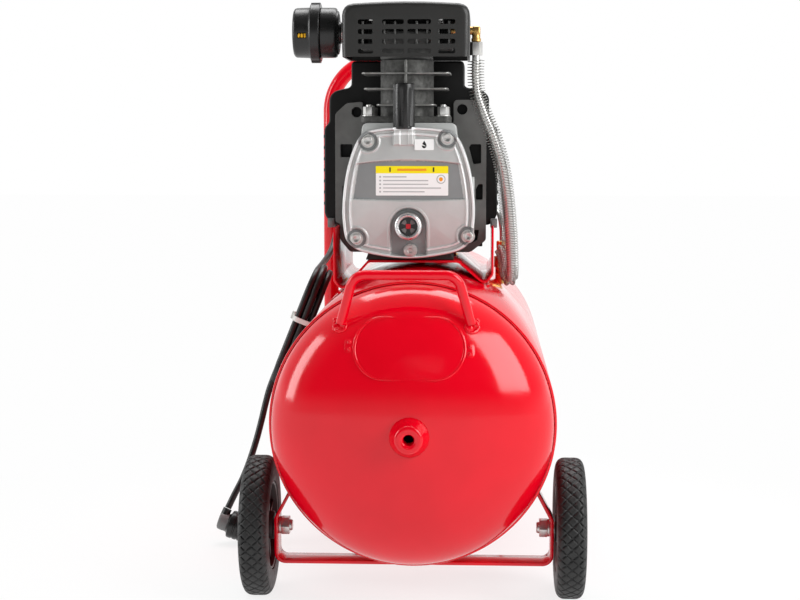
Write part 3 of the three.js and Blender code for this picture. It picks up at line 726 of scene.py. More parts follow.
def tank():
    axis = (0, 0, TANK_Z)
    r = TANK_R
    barrel = [(r - SHEET, 0.4), (r - 1.3, GAP), (r - 0.4, 0.7), (r, 1.8), (r, TANK_LENGTH - 1.8),
              (r - 0.4, TANK_LENGTH - 0.7), (r - 1.3, TANK_LENGTH - GAP), (r - SHEET, TANK_LENGTH - 0.4),
              (r - SHEET, 0.4)]
    finish_piece(lathe("barrel_shell", barrel, "y", axis, 192), "red_enamel", "tank_barrel")
    skin = dome_profile(DOME_R, DOME_DEPTH, 7)
    inside = dome_profile(DOME_R - SHEET, DOME_DEPTH - SHEET, 7)
    edge = [(DOME_R - SHEET, 15), (DOME_R, 15)]
    front = lathe("front_dome_shell", [*inside[::-1], *edge, *skin, inside[-1]], "y", axis, 192)
    finish_piece(front, "red_enamel", "tank_dome_front")
    closed = [(x, TANK_LENGTH - y) for x, y in
              [*dome_profile(DOME_R - SHEET, DOME_DEPTH - SHEET)[::-1], *edge,
               *dome_profile(DOME_R, DOME_DEPTH)]]
    closed[0] = (0, closed[0][1])
    closed[-1] = (0, closed[-1][1])
    rear = lathe("rear_dome_shell", closed, "y", axis, 192)
    finish_piece(rear, "red_enamel", "tank_dome_rear")
    boss = [(5.5, -75.4), (18.8, -75.4), (20, -76.6), (19.8, -78.4), (18.6, -80.6), (15.4, -87),
            (14.4, -90.6), (13.2, -92.4), (11.6, -93), (6.9, -93), (5.5, -91.8), (5.5, -75.4)]
    finish_piece(lathe("front_bung", boss, "y", axis, 96, crease=50), "red_enamel", "dome_bung")


def dome_depth(x, z):
    """Depth of the front dome's skin at a place in front of the tank."""
    share = 1 - (x * x + (z - TANK_Z) ** 2) / DOME_R ** 2
    return -DOME_DEPTH * math.sqrt(max(share, 0))


def on_dome(outline, proud):
    return [(x, dome_depth(x, z) - proud, z) for x, z in outline]


def data_plate():
    """A blank stadium-shaped plate bent to the dome, painted over, with a riveted ear at each end."""
    half, radius, centre_x, centre_z = 26, 31, -0.7, 281
    outline = arc((centre_x + half, centre_z), radius, -90, 90, 24)
    outline += arc((centre_x - half, centre_z), radius, 90, 270, 24)
    edge = [(1.0, -0.6), (1.0, 1.0), (0.988, 1.35), (0.972, 1.35), (0.958, 0.9), (0.95, 0.35)]
    face = [(share, 0.6) for share in (0.8, 0.65, 0.5, 0.35, 0.2)]
    rows = []
    for share, proud in edge + face:
        ring = [(centre_x + (x - centre_x) * share, centre_z + (z - centre_z) * share) for x, z in outline]
        rows.append(on_dome(ring, proud))
    n = len(outline)
    points = [p for row in rows for p in row] + [(centre_x, dome_depth(centre_x, centre_z) - 0.6, centre_z)]
    faces = ring_faces(n, len(rows))
    last = (len(rows) - 1) * n
    faces += [[last + i, last + (i + 1) % n, len(points) - 1] for i in range(n)]
    plate = mesh_piece("data_plate", points, faces)
    plate.modifiers.new("back", "SOLIDIFY").thickness = 0.5 * MM
    parts = [plate]
    for side in (-1, 1):
        x, z = centre_x + side * 60.5, centre_z - 1 - side * 2
        ear = rounded(rectangle(x - 5, z - 6, x + 5, z + 7), 4, 5)
        parts.append(bevel(slab("ear", on_dome(ear, -0.6), on_dome(ear, 0.7)), 0.35, 2))
        for rivet_z in (z - 3, z + 4):
            level = dome_depth(x, rivet_z) - 0.5
            half_head = ((0, -1.7), (1.2, -1.5), (2.1, -0.8), (2.4, 0.6), (0, 0.6))
            head = [(r, level + h) for r, h in half_head]
            parts.append(lathe("rivet", head, "y", (x, 0, rivet_z), 20, crease=60))
    finish_piece(joined("data_plate", parts), "red_enamel")


def handle_foot(x, z, side, seed):
    """The flattened end of the handle's tube: two pinched lobes run over with weld."""
    lobes = []
    sizes = [(-3.4, -1, 4.6, 2.4), (3.6, 2.5, 4.2, 2.2), (0.5, 5, 4.4, 3.2), (side * 5, 6, 3, 2)]
    for dx, dz, radius, depth in sizes:
        px, pz = x + dx, z + dz
        ball = [(radius * math.cos(a), -depth * math.sin(a)) for a in np.linspace(0, math.pi / 2, 9)]
        ball[-1] = (0, -depth)
        lobes.append(lathe("lobe", [(0, 2), (radius, 2), *ball], "y", (px, dome_depth(px, pz), pz), 28,
                           crease=60))
    ring = [(x + 6.2 * math.cos(a), z + 1 + 5.4 * math.sin(a)) for a in np.linspace(0, 2 * math.pi, 20)]
    path = [(px, dome_depth(px, pz) - 0.2, pz) for px, pz in ring]
    lobes.append(weld_bead("bead", path, 1.9, seed))
    foot = joined("handle_foot_left" if side < 0 else "handle_foot_right", lobes)
    finish_piece(foot, "red_enamel")


def handles():
    x = -5
    line = bent([(x - 67, -33, 300), (x - 52, -50, 354), (x + 52, -50, 354), (x + 67, -33, 300)], 16)
    line[0] = Vector((x - 66, dome_depth(x - 66, 304) - 3.5, 304))
    line[-1] = Vector((x + 66, dome_depth(x + 66, 304) - 3.5, 304))
    finish_piece(rod("front_handle_bar", line, 5, 8), "red_enamel", "front_handle")
    handle_foot(x - 67, 300, -1, 7.0)
    handle_foot(x + 67, 300, 1, 9.0)
    left, right, top = -135, 26, 596.5
    rear = bent([(left, 575, 258), (left, 575, top), (right, 575, top), (right, 575, 342)], 71, 24)
    finish_piece(rod("rear_handle_tube", rear, 10, 10), "red_enamel", "rear_handle")
    for number, px in enumerate((left, right)):
        ring = []
        for a in np.linspace(0, 2 * math.pi, 28):
            qx, qd = px + 11 * math.cos(a), 575 + 11 * math.sin(a)
            level = TANK_Z + math.sqrt(max(TANK_R ** 2 - qx * qx, 100)) + 1
            ring.append((qx, qd, level))
        bead = weld_bead(f"arch_weld_{number}", ring, 2.4, 3.0 + number)
        finish_piece(bead, "red_enamel")


def strip(points, thickness, bend, d0, d1, name):
    """Sheet bent along (x, z) points, from depth d0 to d1."""
    middle = bent([(x, 0, z) for x, z in points], bend, 8)
    sides = []
    for sign in (1, -1):
        side = []
        for i, p in enumerate(middle):
            along = (middle[min(i + 1, len(middle) - 1)] - middle[max(i - 1, 0)]).normalized()
            side.append((p.x - sign * along.z * thickness / 2, p.z + sign * along.x * thickness / 2))
        sides.append(side)
    return bevel(prism(name, sides[0] + sides[1][::-1], d0, d1), 0.5, 2, 50)


def above_tank(x):
    return TANK_Z + math.sqrt(TANK_R ** 2 - x * x)


def fit_to_tank(sheet):
    """Cuts away what would reach into the barrel."""
    bore(sheet, TANK_R + 0.2, -20, 640, "y", (0, 0, TANK_Z), 192)


def saddle():
    x, top, wall = -6, 351.3, 89.5

    def half(side):
        valley = above_tank(x + side * 82) + 2 * GAP + 1.25
        edge = x + side * wall
        return [(x + side * 51, top), (x + side * 81, valley), (edge, valley + 12), (edge, 389)]

    plate = strip(half(-1)[::-1] + half(1), 2.5, 7, 170, 430, "saddle_plate")
    fit_to_tank(plate)
    finish_piece(plate, "red_enamel", "saddle")
    for number, side in enumerate((-1, 1)):
        px = x + side * 82
        path = [(px + side * 3, d, above_tank(px + side * 3) + 1.2) for d in range(182, 420, 6)]
        bead = weld_bead(f"saddle_weld_{number}", path, 1.8, 11 + number)
        finish_piece(bead, "red_enamel")
    pad = [(PUMP_X - 50, 353), (PUMP_X + 50, 353), (PUMP_X + 47, 361), (PUMP_X - 47, 361)]
    front = bevel(prism("front_rubber_pad", pad, 172, 226), 1, 2)
    finish_piece(front, "rubber", "rubber_mount_front")
    rear = prism("rear_rubber_pad", rectangle(PUMP_X - 50, 353, PUMP_X + 50, 374.8), 335, 368)
    bore(rear, 66.3, 300, 400, "y", (PUMP_X, 0, SHAFT_Z), 96)
    finish_piece(bevel(rear, 0.8, 2), "rubber", "rubber_mount_rear")


def brackets():
    half, z = 147.2, 38.75
    side = [(half, z), (half, 86), (half - 20, 124)]
    points = [(-x, y) for x, y in side[::-1]] + side
    plate = strip(points, 3.5, 10, WHEEL_D - 17, WHEEL_D + 17, "axle_bracket_strip")
    fit_to_tank(plate)
    bore(plate, 6.4, -160, 160, "x", (0, WHEEL_D, WHEEL_R))
    finish_piece(plate, "red_enamel", "axle_bracket")
    foot = strip([(-96, 84), (-96, 20.05), (96, 20.05), (96, 84)], 3.5, 8, 543, 577, "foot_bracket_strip")
    fit_to_tank(foot)
    finish_piece(foot, "red_enamel", "foot_bracket")
    for name, side in (("left", -1), ("right", 1)):
        profile = [(0, 0), (15.5, 0), (17, 1), (17.9, 3), (17.6, 5), (16.2, 9), (15, 13), (14, 17.4),
                   (13, 18), (5, 18), (5, 5), (0, 5)]
        pad = lathe(f"foot_pad_{name}", profile, "z", (side * 78, 560, 0), 48)
        finish_piece(pad, "rubber", f"rubber_foot_{name}")
        screw = nut(f"foot_screw_{name}", 10, 22.1, 27, "z", (side * 78, 560, 0))
        finish_piece(screw, "zinc_steel")


# ---- wheels ----
def tyre_section():
    """The tyre's outer outline from one bead to the other, as (radius, x) points."""
    shape = [(47.6, 151.6), (52, 150.6), (58, 150.5), (64, 150.9), (69, 152), (72.6, 154.2), (74.4, 157.2),
             (75, 160.4), (75, 166.2), (75, 172), (74.4, 175.3), (72.6, 178.3), (69, 180.5), (64, 181.6),
             (58, 182), (52, 181.9), (47.6, 180.9)]
    return [(p.x, p.y) for p in spline([(r, x, 0) for r, x in shape], 0.9)]


def groove(distance, half_width):
    """1 in the middle of a groove, 0 beyond its edges."""
    return 1 - min(1, max(0, (distance - half_width * 0.45) / (half_width * 0.55)))


def tread_depth(angle, radius, x):
    """Depth of the diamond tread's grooves, which fade out on the side walls."""
    if radius < 66:
        return 0
    pitch = 2 * math.pi / 40
    across = (x - 166.2) / 11.8 * pitch
    first = abs((angle + across) / pitch % 1 - 0.5)
    second = abs((angle - across) / pitch % 1 - 0.5)
    fade = min(1, (radius - 66) / 4)
    return 1.5 * fade * max(groove(first, 0.09), groove(second, 0.09))


def tyre(name, side):
    outer = tyre_section()
    segments = 520
    inner = [(47.6, 175), (47.6, 166), (47.6, 158)]
    points = []
    for k in range(segments):
        angle = 2 * math.pi * k / segments
        for r, x in outer + inner:
            low = r - tread_depth(angle, r, x)
            points.append(spun((low, side * x), "x", (0, WHEEL_D, WHEEL_R), angle))
    faces = ring_faces(len(outer) + len(inner), segments, closed=True)
    piece = mesh_piece(f"tyre_tread_{name}", points, faces, crease=60)
    finish_piece(piece, "tyre_rubber", f"tyre_{name}", body=f"wheel_{name}")


def wheel(name, side):
    centre = (0, WHEEL_D, WHEEL_R)
    tyre(name, side)
    rim = [(6.25, 150.5), (14, 150.5), (15, 151.5), (15.5, 160), (18, 162.6), (40, 163), (43.5, 160),
           (44.5, 153), (46.2, 152.2), (47.3, 153), (47.3, 179.5), (46.2, 180.3), (44.5, 179.5),
           (43.5, 170), (40, 167), (18, 167.4), (15.5, 170), (15, 175), (14, 176), (6.25, 176),
           (6.25, 150.5)]
    disc = lathe(f"rim_{name}", [(r, side * x) for r, x in rim], "x", centre, 96)
    parts = [disc]
    for k in range(8):
        angle = 2 * math.pi * (k + 0.5) / 8
        for x0, x1 in ((157, 163.4), (166.6, 173)):
            rib = []
            for r, wide in ((14.5, 2.4), (44.2, 2.0)):
                for s, x in ((-1, x0), (1, x0), (1, x1), (-1, x1)):
                    a = r * math.cos(angle) - s * wide * math.sin(angle)
                    b = r * math.sin(angle) + s * wide * math.cos(angle)
                    rib.append((side * x, WHEEL_D + a, WHEEL_R + b))
            parts.append(bevel(mesh_piece("rib", rib, BOX_FACES), 0.7, 2))
    finish_piece(joined(f"rim_{name}", parts), "rim_plastic", f"wheel_rim_{name}", body=f"wheel_{name}")
    rod_profile = [(0, 131), (5.2, 131), (6, 132), (6, 177), (0, 177)]
    shaft = lathe("shaft", [(r, side * x) for r, x in rod_profile], "x", centre, 32)
    washer_profile = [*rectangle(6.1, 142.9, 9.5, 145.1), (6.1, 142.9)]
    washer = lathe("washer", [(r, side * x) for r, x in washer_profile], "x", centre, 48)
    low, high = sorted((side * 134, side * 142.7))
    inner_nut = nut("inner", 18, low, high, "x", centre)
    low, high = sorted((side * 176.4, side * 183))
    head = nut("head", 18, low, high, "x", centre)
    bolt = joined(f"axle_{name}", [shaft, bevel(washer, 0.3, 2), inner_nut, head])
    finish_piece(bolt, "zinc_steel", f"axle_bolt_{name}")


# ---- crankcase cover ----
COVER_OUTLINE = [
    (0, 357), (-32, 360), (-58, 367), (-69, 377), (-73, 396), (-73, 424), (-67, 461), (-56, 489),
    (-47, 497.5), (0, 503), (47, 497.5), (56, 489), (67, 461), (73, 424), (73, 396), (69, 377), (58, 367),
    (32, 360),
]
COVER_BOLTS = [(-45, 487), (43, 490), (-58, 379), (66, 382)]
SIGHT_Z = 393


def smooth_outline(points, count):
    """A closed curve through points, at evenly spaced places."""
    line = spline([(x, 0, z) for x, z in [*points[-2:], *points, *points[:2]]], 0.5)
    total = [0.0]
    for a, b in zip(line, line[1:]):
        total.append(total[-1] + (b - a).length)
    start = Vector((points[0][0], 0, points[0][1]))
    hits = [i for i, p in enumerate(line) if (p - start).length < 0.3]
    first, last = hits[0], hits[-1]
    spots = np.linspace(total[first], total[last], count, endpoint=False)
    return np.stack([np.interp(spots, total, [p[axis] for p in line]) for axis in (0, 2)], 1)


def step(value, low, high):
    """0 below low, 1 above high, smooth between."""
    t = np.clip((value - low) / (high - low), 0, 1)
    return t * t * (3 - 2 * t)


def bead(distance, middle, half):
    """A rounded ridge of height 1 about a distance."""
    return np.sqrt(np.clip(1 - ((distance - middle) / half) ** 2, 0, 1))


def cover_height(x, z, edge):
    """How far the cover's face stands out of its flange's back, in millimetres."""
    pocket = np.full_like(x, 99.0)
    for bolt_x, bolt_z in COVER_BOLTS:
        pocket = np.minimum(pocket, np.hypot(x - bolt_x, z - bolt_z) - 9.8)
    inside = np.minimum(edge - 6.2, pocket)
    groove_level = 11.8
    face = 17.0 + 1.2 * step(inside, 0, 30)
    upper = 461 + 5 * (1 - (x / 62) ** 2)
    lower = 423.5 - 2.2 * (1 - (x / 70) ** 2)
    in_band = step(z, lower - 0.5, lower + 1.0) * (1 - step(z, upper - 0.8, upper + 0.8))
    draft = 0.13 * np.clip(z - upper, 0, 40) + 0.09 * np.clip(lower - z, 0, 60)
    face = face - 2.6 * in_band - draft * (1 - in_band)
    ridge = step(inside, 0.0, 1.4) - step(inside, 2.8, 4.6)
    height = groove_level + (face - groove_level) * step(inside, 0, 3.0) + 1.6 * ridge
    rim = step(edge, 0.2, 1.2) - step(edge, 2.8, 4.4)
    height = height + (16.2 - groove_level) * rim * (1 - step(inside, -1.5, 0.5))
    arch = np.where(z < SIGHT_Z, np.abs(x), np.hypot(x, z - SIGHT_Z)) - 19.6
    in_arch = (1 - step(arch, -0.9, 0.9)) * step(edge, 2.2, 4.0)
    height = height * (1 - in_arch) + 8.6 * in_arch
    height = height + 0.5 * bead(arch, 2.2, 1.4) * step(edge, 4.5, 7) * (z < SIGHT_Z + 24)
    boss = np.maximum(np.abs(x + 5) - 10.5, 483 - z)
    in_boss = (1 - step(boss, -0.8, 1.8)) * step(edge, 0.0, 0.8)
    height = height * (1 - in_boss) + 19.2 * in_boss
    dip = (1 - step(np.abs(x + 4.5), 4.0, 5.2)) * step(z, 482, 484) * in_boss
    return height - 1.6 * dip


def cover_level(x, z, edge):
    """The cover's height at one place."""
    return float(cover_height(np.array([x]), np.array([z]), np.array([edge]))[0])


def in_recess(x, z, height):
    """Whether a place on the cover is in its label band, its arch or a bolt's pocket, which get painted
    shade.
    """
    band = 421.6 + 2.2 * (x / 70) ** 2 < z < 466 - 5 * (x / 62) ** 2 and 14.2 < height < 15.9
    band = band and abs(x) < 61 - (z - 424) * 0.16
    above = max(z - SIGHT_Z, 0)
    arch = math.hypot(x, above) < 20 and height < 9.4 and z < SIGHT_Z + 20
    pocket = any(math.hypot(x - bx, z - bz) < 10.5 for bx, bz in COVER_BOLTS)
    return band or arch or pocket


def crankcase_cover():
    count, rings = 560, 128
    outline = smooth_outline(COVER_OUTLINE, count)
    centre = np.array([0.0, SHAFT_Z])
    shares = np.concatenate([np.linspace(0, 0.3, 60), np.linspace(0.3, 1, rings - 60)[1:]])
    rows = []
    for share in shares[:-1]:
        ring = outline + (centre - outline) * share
        spread = np.hypot(*(centre - outline).T) * share
        rows.append((ring, spread))
    normals = np.roll(outline, -1, 0) - np.roll(outline, 1, 0)
    normals = np.stack([normals[:, 1], -normals[:, 0]], 1)
    normals /= np.hypot(*normals.T)[:, None]
    toward = centre - outline
    slant = np.abs((toward * normals).sum(1)) / np.hypot(*toward.T)
    points = []
    for ring, spread in rows:
        edge = spread * slant
        height = cover_height(ring[:, 0], ring[:, 1], edge)
        points += [(PUMP_X + x, COVER_BACK - h, z) for (x, z), h in zip(ring, height)]
    points.append((PUMP_X, COVER_BACK - cover_level(0.0, float(SHAFT_Z), 70.0), SHAFT_Z))
    tip = len(points) - 1
    faces = ring_faces(count, len(rows))
    last = (len(rows) - 1) * count
    faces += [[last + i, last + (i + 1) % count, tip] for i in range(count)]
    back = len(points)
    points += [(PUMP_X + x, COVER_BACK, z) for x, z in outline]
    faces += [[back + i, back + (i + 1) % count, (i + 1) % count, i] for i in range(count)]
    faces.append([back + i for i in range(count)][::-1])
    cover = mesh_piece("cover_casting", points, faces, crease=75)
    finish_piece(cover, "cast_aluminium", "crankcase_cover")
    cover.data.materials.append(MATERIALS["cast_aluminium_painted_shade"])
    cover.data.materials.append(MATERIALS["cast_aluminium_painted_highlight"])
    centres = np.array([face.center for face in cover.data.polygons]) / MM
    x, z, height = centres[:, 0] - PUMP_X, centres[:, 2], COVER_BACK + RIM_Y - centres[:, 1]
    edge = np.full(len(x), 99.0)
    for px, pz in outline:
        edge = np.minimum(edge, np.hypot(x - px, z - pz))
    # Faces on the rim and ridge tops get a painted highlight, a lighter copy of the cast aluminium.
    bright = (edge < 3.6) & (height > 15) | (edge > 6.8) & (edge < 9.4) & (height > 13)
    # Faces in the label band, the arch and the bolt pockets get painted shade, a darker copy of the cast
    # aluminium; the index list marks both painted shade and painted highlight.
    painted_light_index = [1 if in_recess(*spot) else 2 * int(lit) for *spot, lit in zip(x, z, height, bright)]
    cover.data.polygons.foreach_set("material_index", painted_light_index)


def socket_screw(name, x, z, seat, radius=5.6, length=5.0):
    """A cap screw seen from its head: a washer, a round head and a six-sided socket."""
    washer = [(0, seat), (7.4, seat), (7.6, seat - 0.4), (7.4, seat - 1.2), (0, seat - 1.2)]
    base = seat - 1.3
    top = base - length
    head = [(0, base), (radius, base), (radius, top + 0.7), (radius - 0.6, top), (0, top)]
    ring = lathe("washer", washer, "y", (x, 0, z), 40)
    cap = lathe("head", head, "y", (x, 0, z), 40)
    bore(cap, 3.0, top + 3, top - 1, "y", (x, 0, z), 6)
    piece = joined(name, [ring, bevel(cap, 0.2, 2)])
    return finish_piece(piece, "zinc_steel")


def cover_fittings():
    for i, (x, z) in enumerate(COVER_BOLTS):
        socket_screw(f"cover_screw_{i}", PUMP_X + x, z, COVER_BACK - 13.0)
    centre = (PUMP_X, 0, SIGHT_Z)
    front = 126.2
    boss = [(11, 139.5), (15.2, 139.5), (15.2, front + 3), (14.6, front + 1.4), (13.4, front + 0.4),
            (12.2, front), (11.2, front + 0.6), (11, front + 2), (11, 139.5)]
    ring = lathe("sight_bezel", boss, "y", centre, 72, crease=50)
    hexed = nut("sight_nut", 24.5, front + 3.6, front + 7.8, "y", centre, 10.5)
    ring = joined("sight_bezel", [ring, hexed])
    finish_piece(ring, "machined_aluminium")
    well = drum("sight_well", 11.2, front + 6, 139, "y", centre, 48)
    finish_piece(bevel(well, 0.3, 2), "sight_well", "oil_sight_glass")
    mark = rectangle(PUMP_X - 2.7, SIGHT_Z - 2.7, PUMP_X + 2.7, SIGHT_Z + 2.7)
    square = bevel(prism("sight_mark", mark, front + 5.2, front + 6.4), 0.3, 2)
    finish_piece(square, "sight_red")
    blades = []
    for k in range(4):
        a = math.pi / 4 + k * math.pi / 2
        wedge = [(3.9, -1.4), (7.6, -3.2), (8.2, 0), (7.6, 3.2), (3.9, 1.4)]
        turned = [(PUMP_X + u * math.cos(a) - v * math.sin(a), SIGHT_Z + u * math.sin(a) + v * math.cos(a))
                  for u, v in wedge]
        blades.append(bevel(prism("wedge", turned, front + 5.4, front + 6.4), 0.3, 2))
    finish_piece(joined("sight_facets", blades), "grey_plastic", slot="sight_glass")
    drain_x, drain_z = PUMP_X + 2, 366
    flange = [(0, 139.6), (7.6, 139.6), (7.9, 138.6), (7.4, 137.4), (0, 137.4)]
    parts = [lathe("flange", flange, "y", (drain_x, 0, drain_z), 40)]
    head = nut("head", 12, 132.6, 137.3, "y", (drain_x, 0, drain_z))
    dimple = [(0, 134), (2.2, 133.6), (3.4, 132), (0, 131)]
    boolean(head, lathe("tool", dimple, "y", (drain_x, 0, drain_z), 24))
    parts.append(head)
    finish_piece(joined("drain_screw", parts), "zinc_steel", "oil_drain_plug")


def fluted(name, centre, levels, count, depth):
    """An upright knob from (z, radius) levels, cut in by depth(row, angle)."""
    points = []
    for row, (z, radius) in enumerate(levels):
        for k in range(count):
            a = 2 * math.pi * k / count
            points.append((*polar(centre, radius - depth(row, a), a), z))
    top = (len(levels) - 1) * count
    faces = ring_faces(count, len(levels))
    faces.append(list(range(count))[::-1])
    faces.append([top + i for i in range(count)])
    return mesh_piece(name, points, faces, crease=40)


def filler_plug():
    """A fluted black stopper with a thin lip at its top."""
    levels = [(499.8, 9.8), (500.4, 11.8), (503, 12), (504, 12.2), (541, 12.2), (543, 11.8), (547, 12),
              (549.4, 11.4), (550.4, 10)]

    def depth(row, angle):
        return 1.4 * max(0, math.cos(7 * angle)) ** 0.7 if row in (3, 4) else 0

    plug = fluted("filler_stopper", (PUMP_X - 5, 139), levels, 96, depth)
    finish_piece(plug, "smooth_plastic", "oil_filler_plug", body="filler_plug")


def on_cover(name, outline, proud, look):
    """A thin sheet stuck to the cover's face."""
    front, back = [], []
    for side, lift in ((front, proud), (back, proud - 0.3)):
        for x, z in outline:
            level = cover_level(x - PUMP_X, z, 40.0)
            side.append((x, COVER_BACK - level - 0.4 - lift, z))
    sheet = slab(name, front, back)
    return finish_piece(sheet, look, slot="cast_aluminium")


def bar(x, z, width, height, corner=0.3):
    return rounded(rectangle(x, z, x + width, z + height), corner)


def labels():
    """Blank generic labels: a two-colour one with plain rules, and a small one with a drop."""
    on_cover("cover_label", bar(-46, 427, 80, 24.5, 1), 0.2, "label_white")
    on_cover("cover_label_band", bar(-46, 451.5, 80, 8, 0.8), 0.25, "label_yellow")
    on_cover("cover_label_band_mark", bar(-22, 454.2, 32, 2.4), 0.35, "label_orange")
    for side, x in (("left", -31), ("right", 17)):
        on_cover(f"cover_label_tick_{side}", bar(x, 453, 1.6, 5), 0.35, "label_ink")
    for i, width in enumerate((26, 50, 50, 64, 46)):
        z = 447 - 4.1 * i
        on_cover(f"cover_label_rule_{i}", bar(-38, z, width, 1.2), 0.3, "label_grey")
        on_cover(f"cover_label_bullet_{i}", arc((-41.2, z + 0.6), 1.1, 0, 330, 11), 0.3, "label_grey")
    for i, (radius, look) in enumerate(((5, "label_grey"), (4, "label_white"), (2.2, "label_orange"))):
        on_cover(f"cover_label_ring_{i}", arc((26, 445), radius, 0, 345, 23), 0.3 + 0.08 * i, look)
    on_cover("oil_label", bar(-3.2, 477, 21.2, 12, 1), 0.25, "label_white")
    drop = [(7.4, 487.3), (9.4, 484), *arc((7.4, 481.8), 2.6, 20, -200, 14), (5.4, 484)]
    on_cover("oil_label_drop", drop, 0.4, "label_ink")


# ---- crankcase, cylinder and head ----
def crankcase():
    outline = [(-46, 364), (-63, 372), (-70, 388), (-70, 424), (-64, 462), (-53, 492), (-52, 507),
               (52, 507), (53, 492), (64, 462), (70, 424), (70, 388), (63, 372), (46, 364)]
    body = prism("crankcase_casting", [(PUMP_X + x, z) for x, z in rounded(outline, 8, 4)], 150.3, 228)
    share = 1 - 8 / 70
    inside = [(PUMP_X + x * share, SHAFT_Z + (z - SHAFT_Z) * share) for x, z in outline]
    boolean(body, prism("tool", inside, 140, 218))
    bore(body, 25.5, 480, 520, "z", (PUMP_X, CYLINDER_D, 0), 48)
    bore(body, 9, 200, 240, "y", (PUMP_X, 0, SHAFT_Z))
    parts = [bevel(body, 1.2, 3)]
    for side in (-1, 1):
        for d in (165, 185, 205):
            x0, x1 = sorted((PUMP_X + side * 66, PUMP_X + side * 72.5))
            parts.append(block("web", (x0, d, 384), (x1, d + 4, 446), 1))
    finish_piece(joined("crankcase_casting", parts), "cast_aluminium", "crankcase")


def bored(obj, radius):
    """Cuts the cylinder's bore through one simple piece."""
    return bore(obj, radius, 500, 590, "z", (PUMP_X, CYLINDER_D, 0), 64)


def cylinder():
    x, d = PUMP_X - 3.8, CYLINDER_D
    barrel = [(0, 507.4), (31, 507.4), (30, 514), (30, 577), (0, 577)]
    parts = [bored(lathe("barrel", barrel, "z", (x, d, 0), 96), 23.5)]
    base = rounded(rectangle(x - 50, d - 36, x + 50, d + 36), 8)
    parts.append(bored(bake_modifiers(bevel(upright("base", base, 507.4, 514.4), 0.8, 3)), 23.5))
    finish_piece(joined("cylinder_casting", parts), "cast_iron", "cylinder")
    fins = []
    for half, z in ((49.5, 561), (47, 543.8), (33, 526)):
        outline = rounded(rectangle(x - half, d - 36, x + half, d + 36), 8)
        fins.append(bored(bake_modifiers(bevel(upright("fin", outline, z, z + 2), 0.5, 2)), 25))
    for d0, d1 in ((d - 35, d - 28), (d + 28, d + 35)):
        fins.append(block("rib", (x - 1.3, d0, 545.6), (x + 1.3, d1, 577), 0.5))
    finish_piece(joined("cylinder_fins", fins), "fin_iron")
    studs = []
    for side in (-1, 1):
        for dd in (-27, 27):
            centre = (x + side * 41.5, d + dd, 0)
            studs.append(drum("washer", 7.4, 514.6, 515.8, "z", centre))
            studs.append(nut("nut", 11.5, 515.9, 525, "z", centre))
            end = [(0, 525), (3, 525), (3, 527), (2.5, 527.6), (0, 527.6)]
            studs.append(lathe("stud", end, "z", centre, 24))
    finish_piece(joined("cylinder_nuts", studs), "zinc_steel")


def head():
    middle = (HOOD_LEFT + HOOD_RIGHT) / 2
    d0, d1 = CYLINDER_D - 34, CYLINDER_D + 34
    parts = [block("deck", (middle - 29, d0 + 16, 577.3), (middle + 29, d1 - 10, 592), 2),
             block("ledge", (middle - 52, d0 + 16, 589), (middle + 52, d1, 593.5), 2)]
    for i in range(9):
        x = middle - 48 + 12 * i
        parts.append(block("fin", (x - 1.3, d0 + 1, 590), (x + 1.3, d1 - 1, 619.5), 0.8))
    parts.append(block("chamber", (middle - 30, d0 + 8, 590), (middle + 30, d1 - 8, 610), 3))
    casting = joined("head_casting", parts)
    finish_piece(casting, "head_casting", "cylinder_head")
    places = [(middle + sx * 38, CYLINDER_D + sd * 24, 0) for sx in (-1, 1) for sd in (-1, 1)]
    bolts = [nut("bolt", 10, 620, 626, "z", centre) for centre in places]
    finish_piece(joined("head_bolts", bolts), "zinc_steel")


def shell_rings(outline, centre, front, back, radius, steps=8):
    """Rings of a hood: straight from the back, then rounding over to a smaller front face."""
    cx, cz = centre
    wide = max(abs(x - cx) for x, _ in outline)
    high = max(abs(z - cz) for _, z in outline)
    rows = [[(x, back, z) for x, z in outline]]
    for k in range(steps + 1):
        a = math.pi / 2 * k / steps
        inset, depth = radius * (1 - math.cos(a)), front + radius * (1 - math.sin(a))
        sx, sz = 1 - inset / wide, 1 - inset / high
        rows.append([(cx + (x - cx) * sx, depth, cz + (z - cz) * sz) for x, z in outline])
    return rows


def hood(name, outline, centre, front, back, radius, thickness):
    """A closed-front shell with a rounded front edge, open at the back."""
    outer = shell_rings(outline, centre, front, back, radius)
    cx, cz = centre
    wide = max(abs(x - cx) for x, _ in outline)
    high = max(abs(z - cz) for _, z in outline)
    small = [(cx + (x - cx) * (1 - thickness / wide), cz + (z - cz) * (1 - thickness / high))
             for x, z in outline]
    inner = shell_rings(small, centre, front + thickness, back, max(radius - thickness, 0.5))
    rows = outer[::-1] + inner
    n = len(outline)
    points = [p for row in rows for p in row]
    faces = ring_faces(n, len(rows))
    faces.append(list(range(n)))
    faces.append([(len(rows) - 1) * n + i for i in range(n)][::-1])
    return mesh_piece(name, points, faces, crease=40)


def slot_tools(slots, d0, d1):
    """Slots (x0, x1, z0, z1) with rounded corners, as one cutting object."""
    tools = []
    for x0, x1, z0, z1 in slots:
        outline = rounded(rectangle(x0, z0, x1, z1), 2.4, 5)
        tools.append(prism("tool", outline, d0, d1))
    return joined("tool", tools)


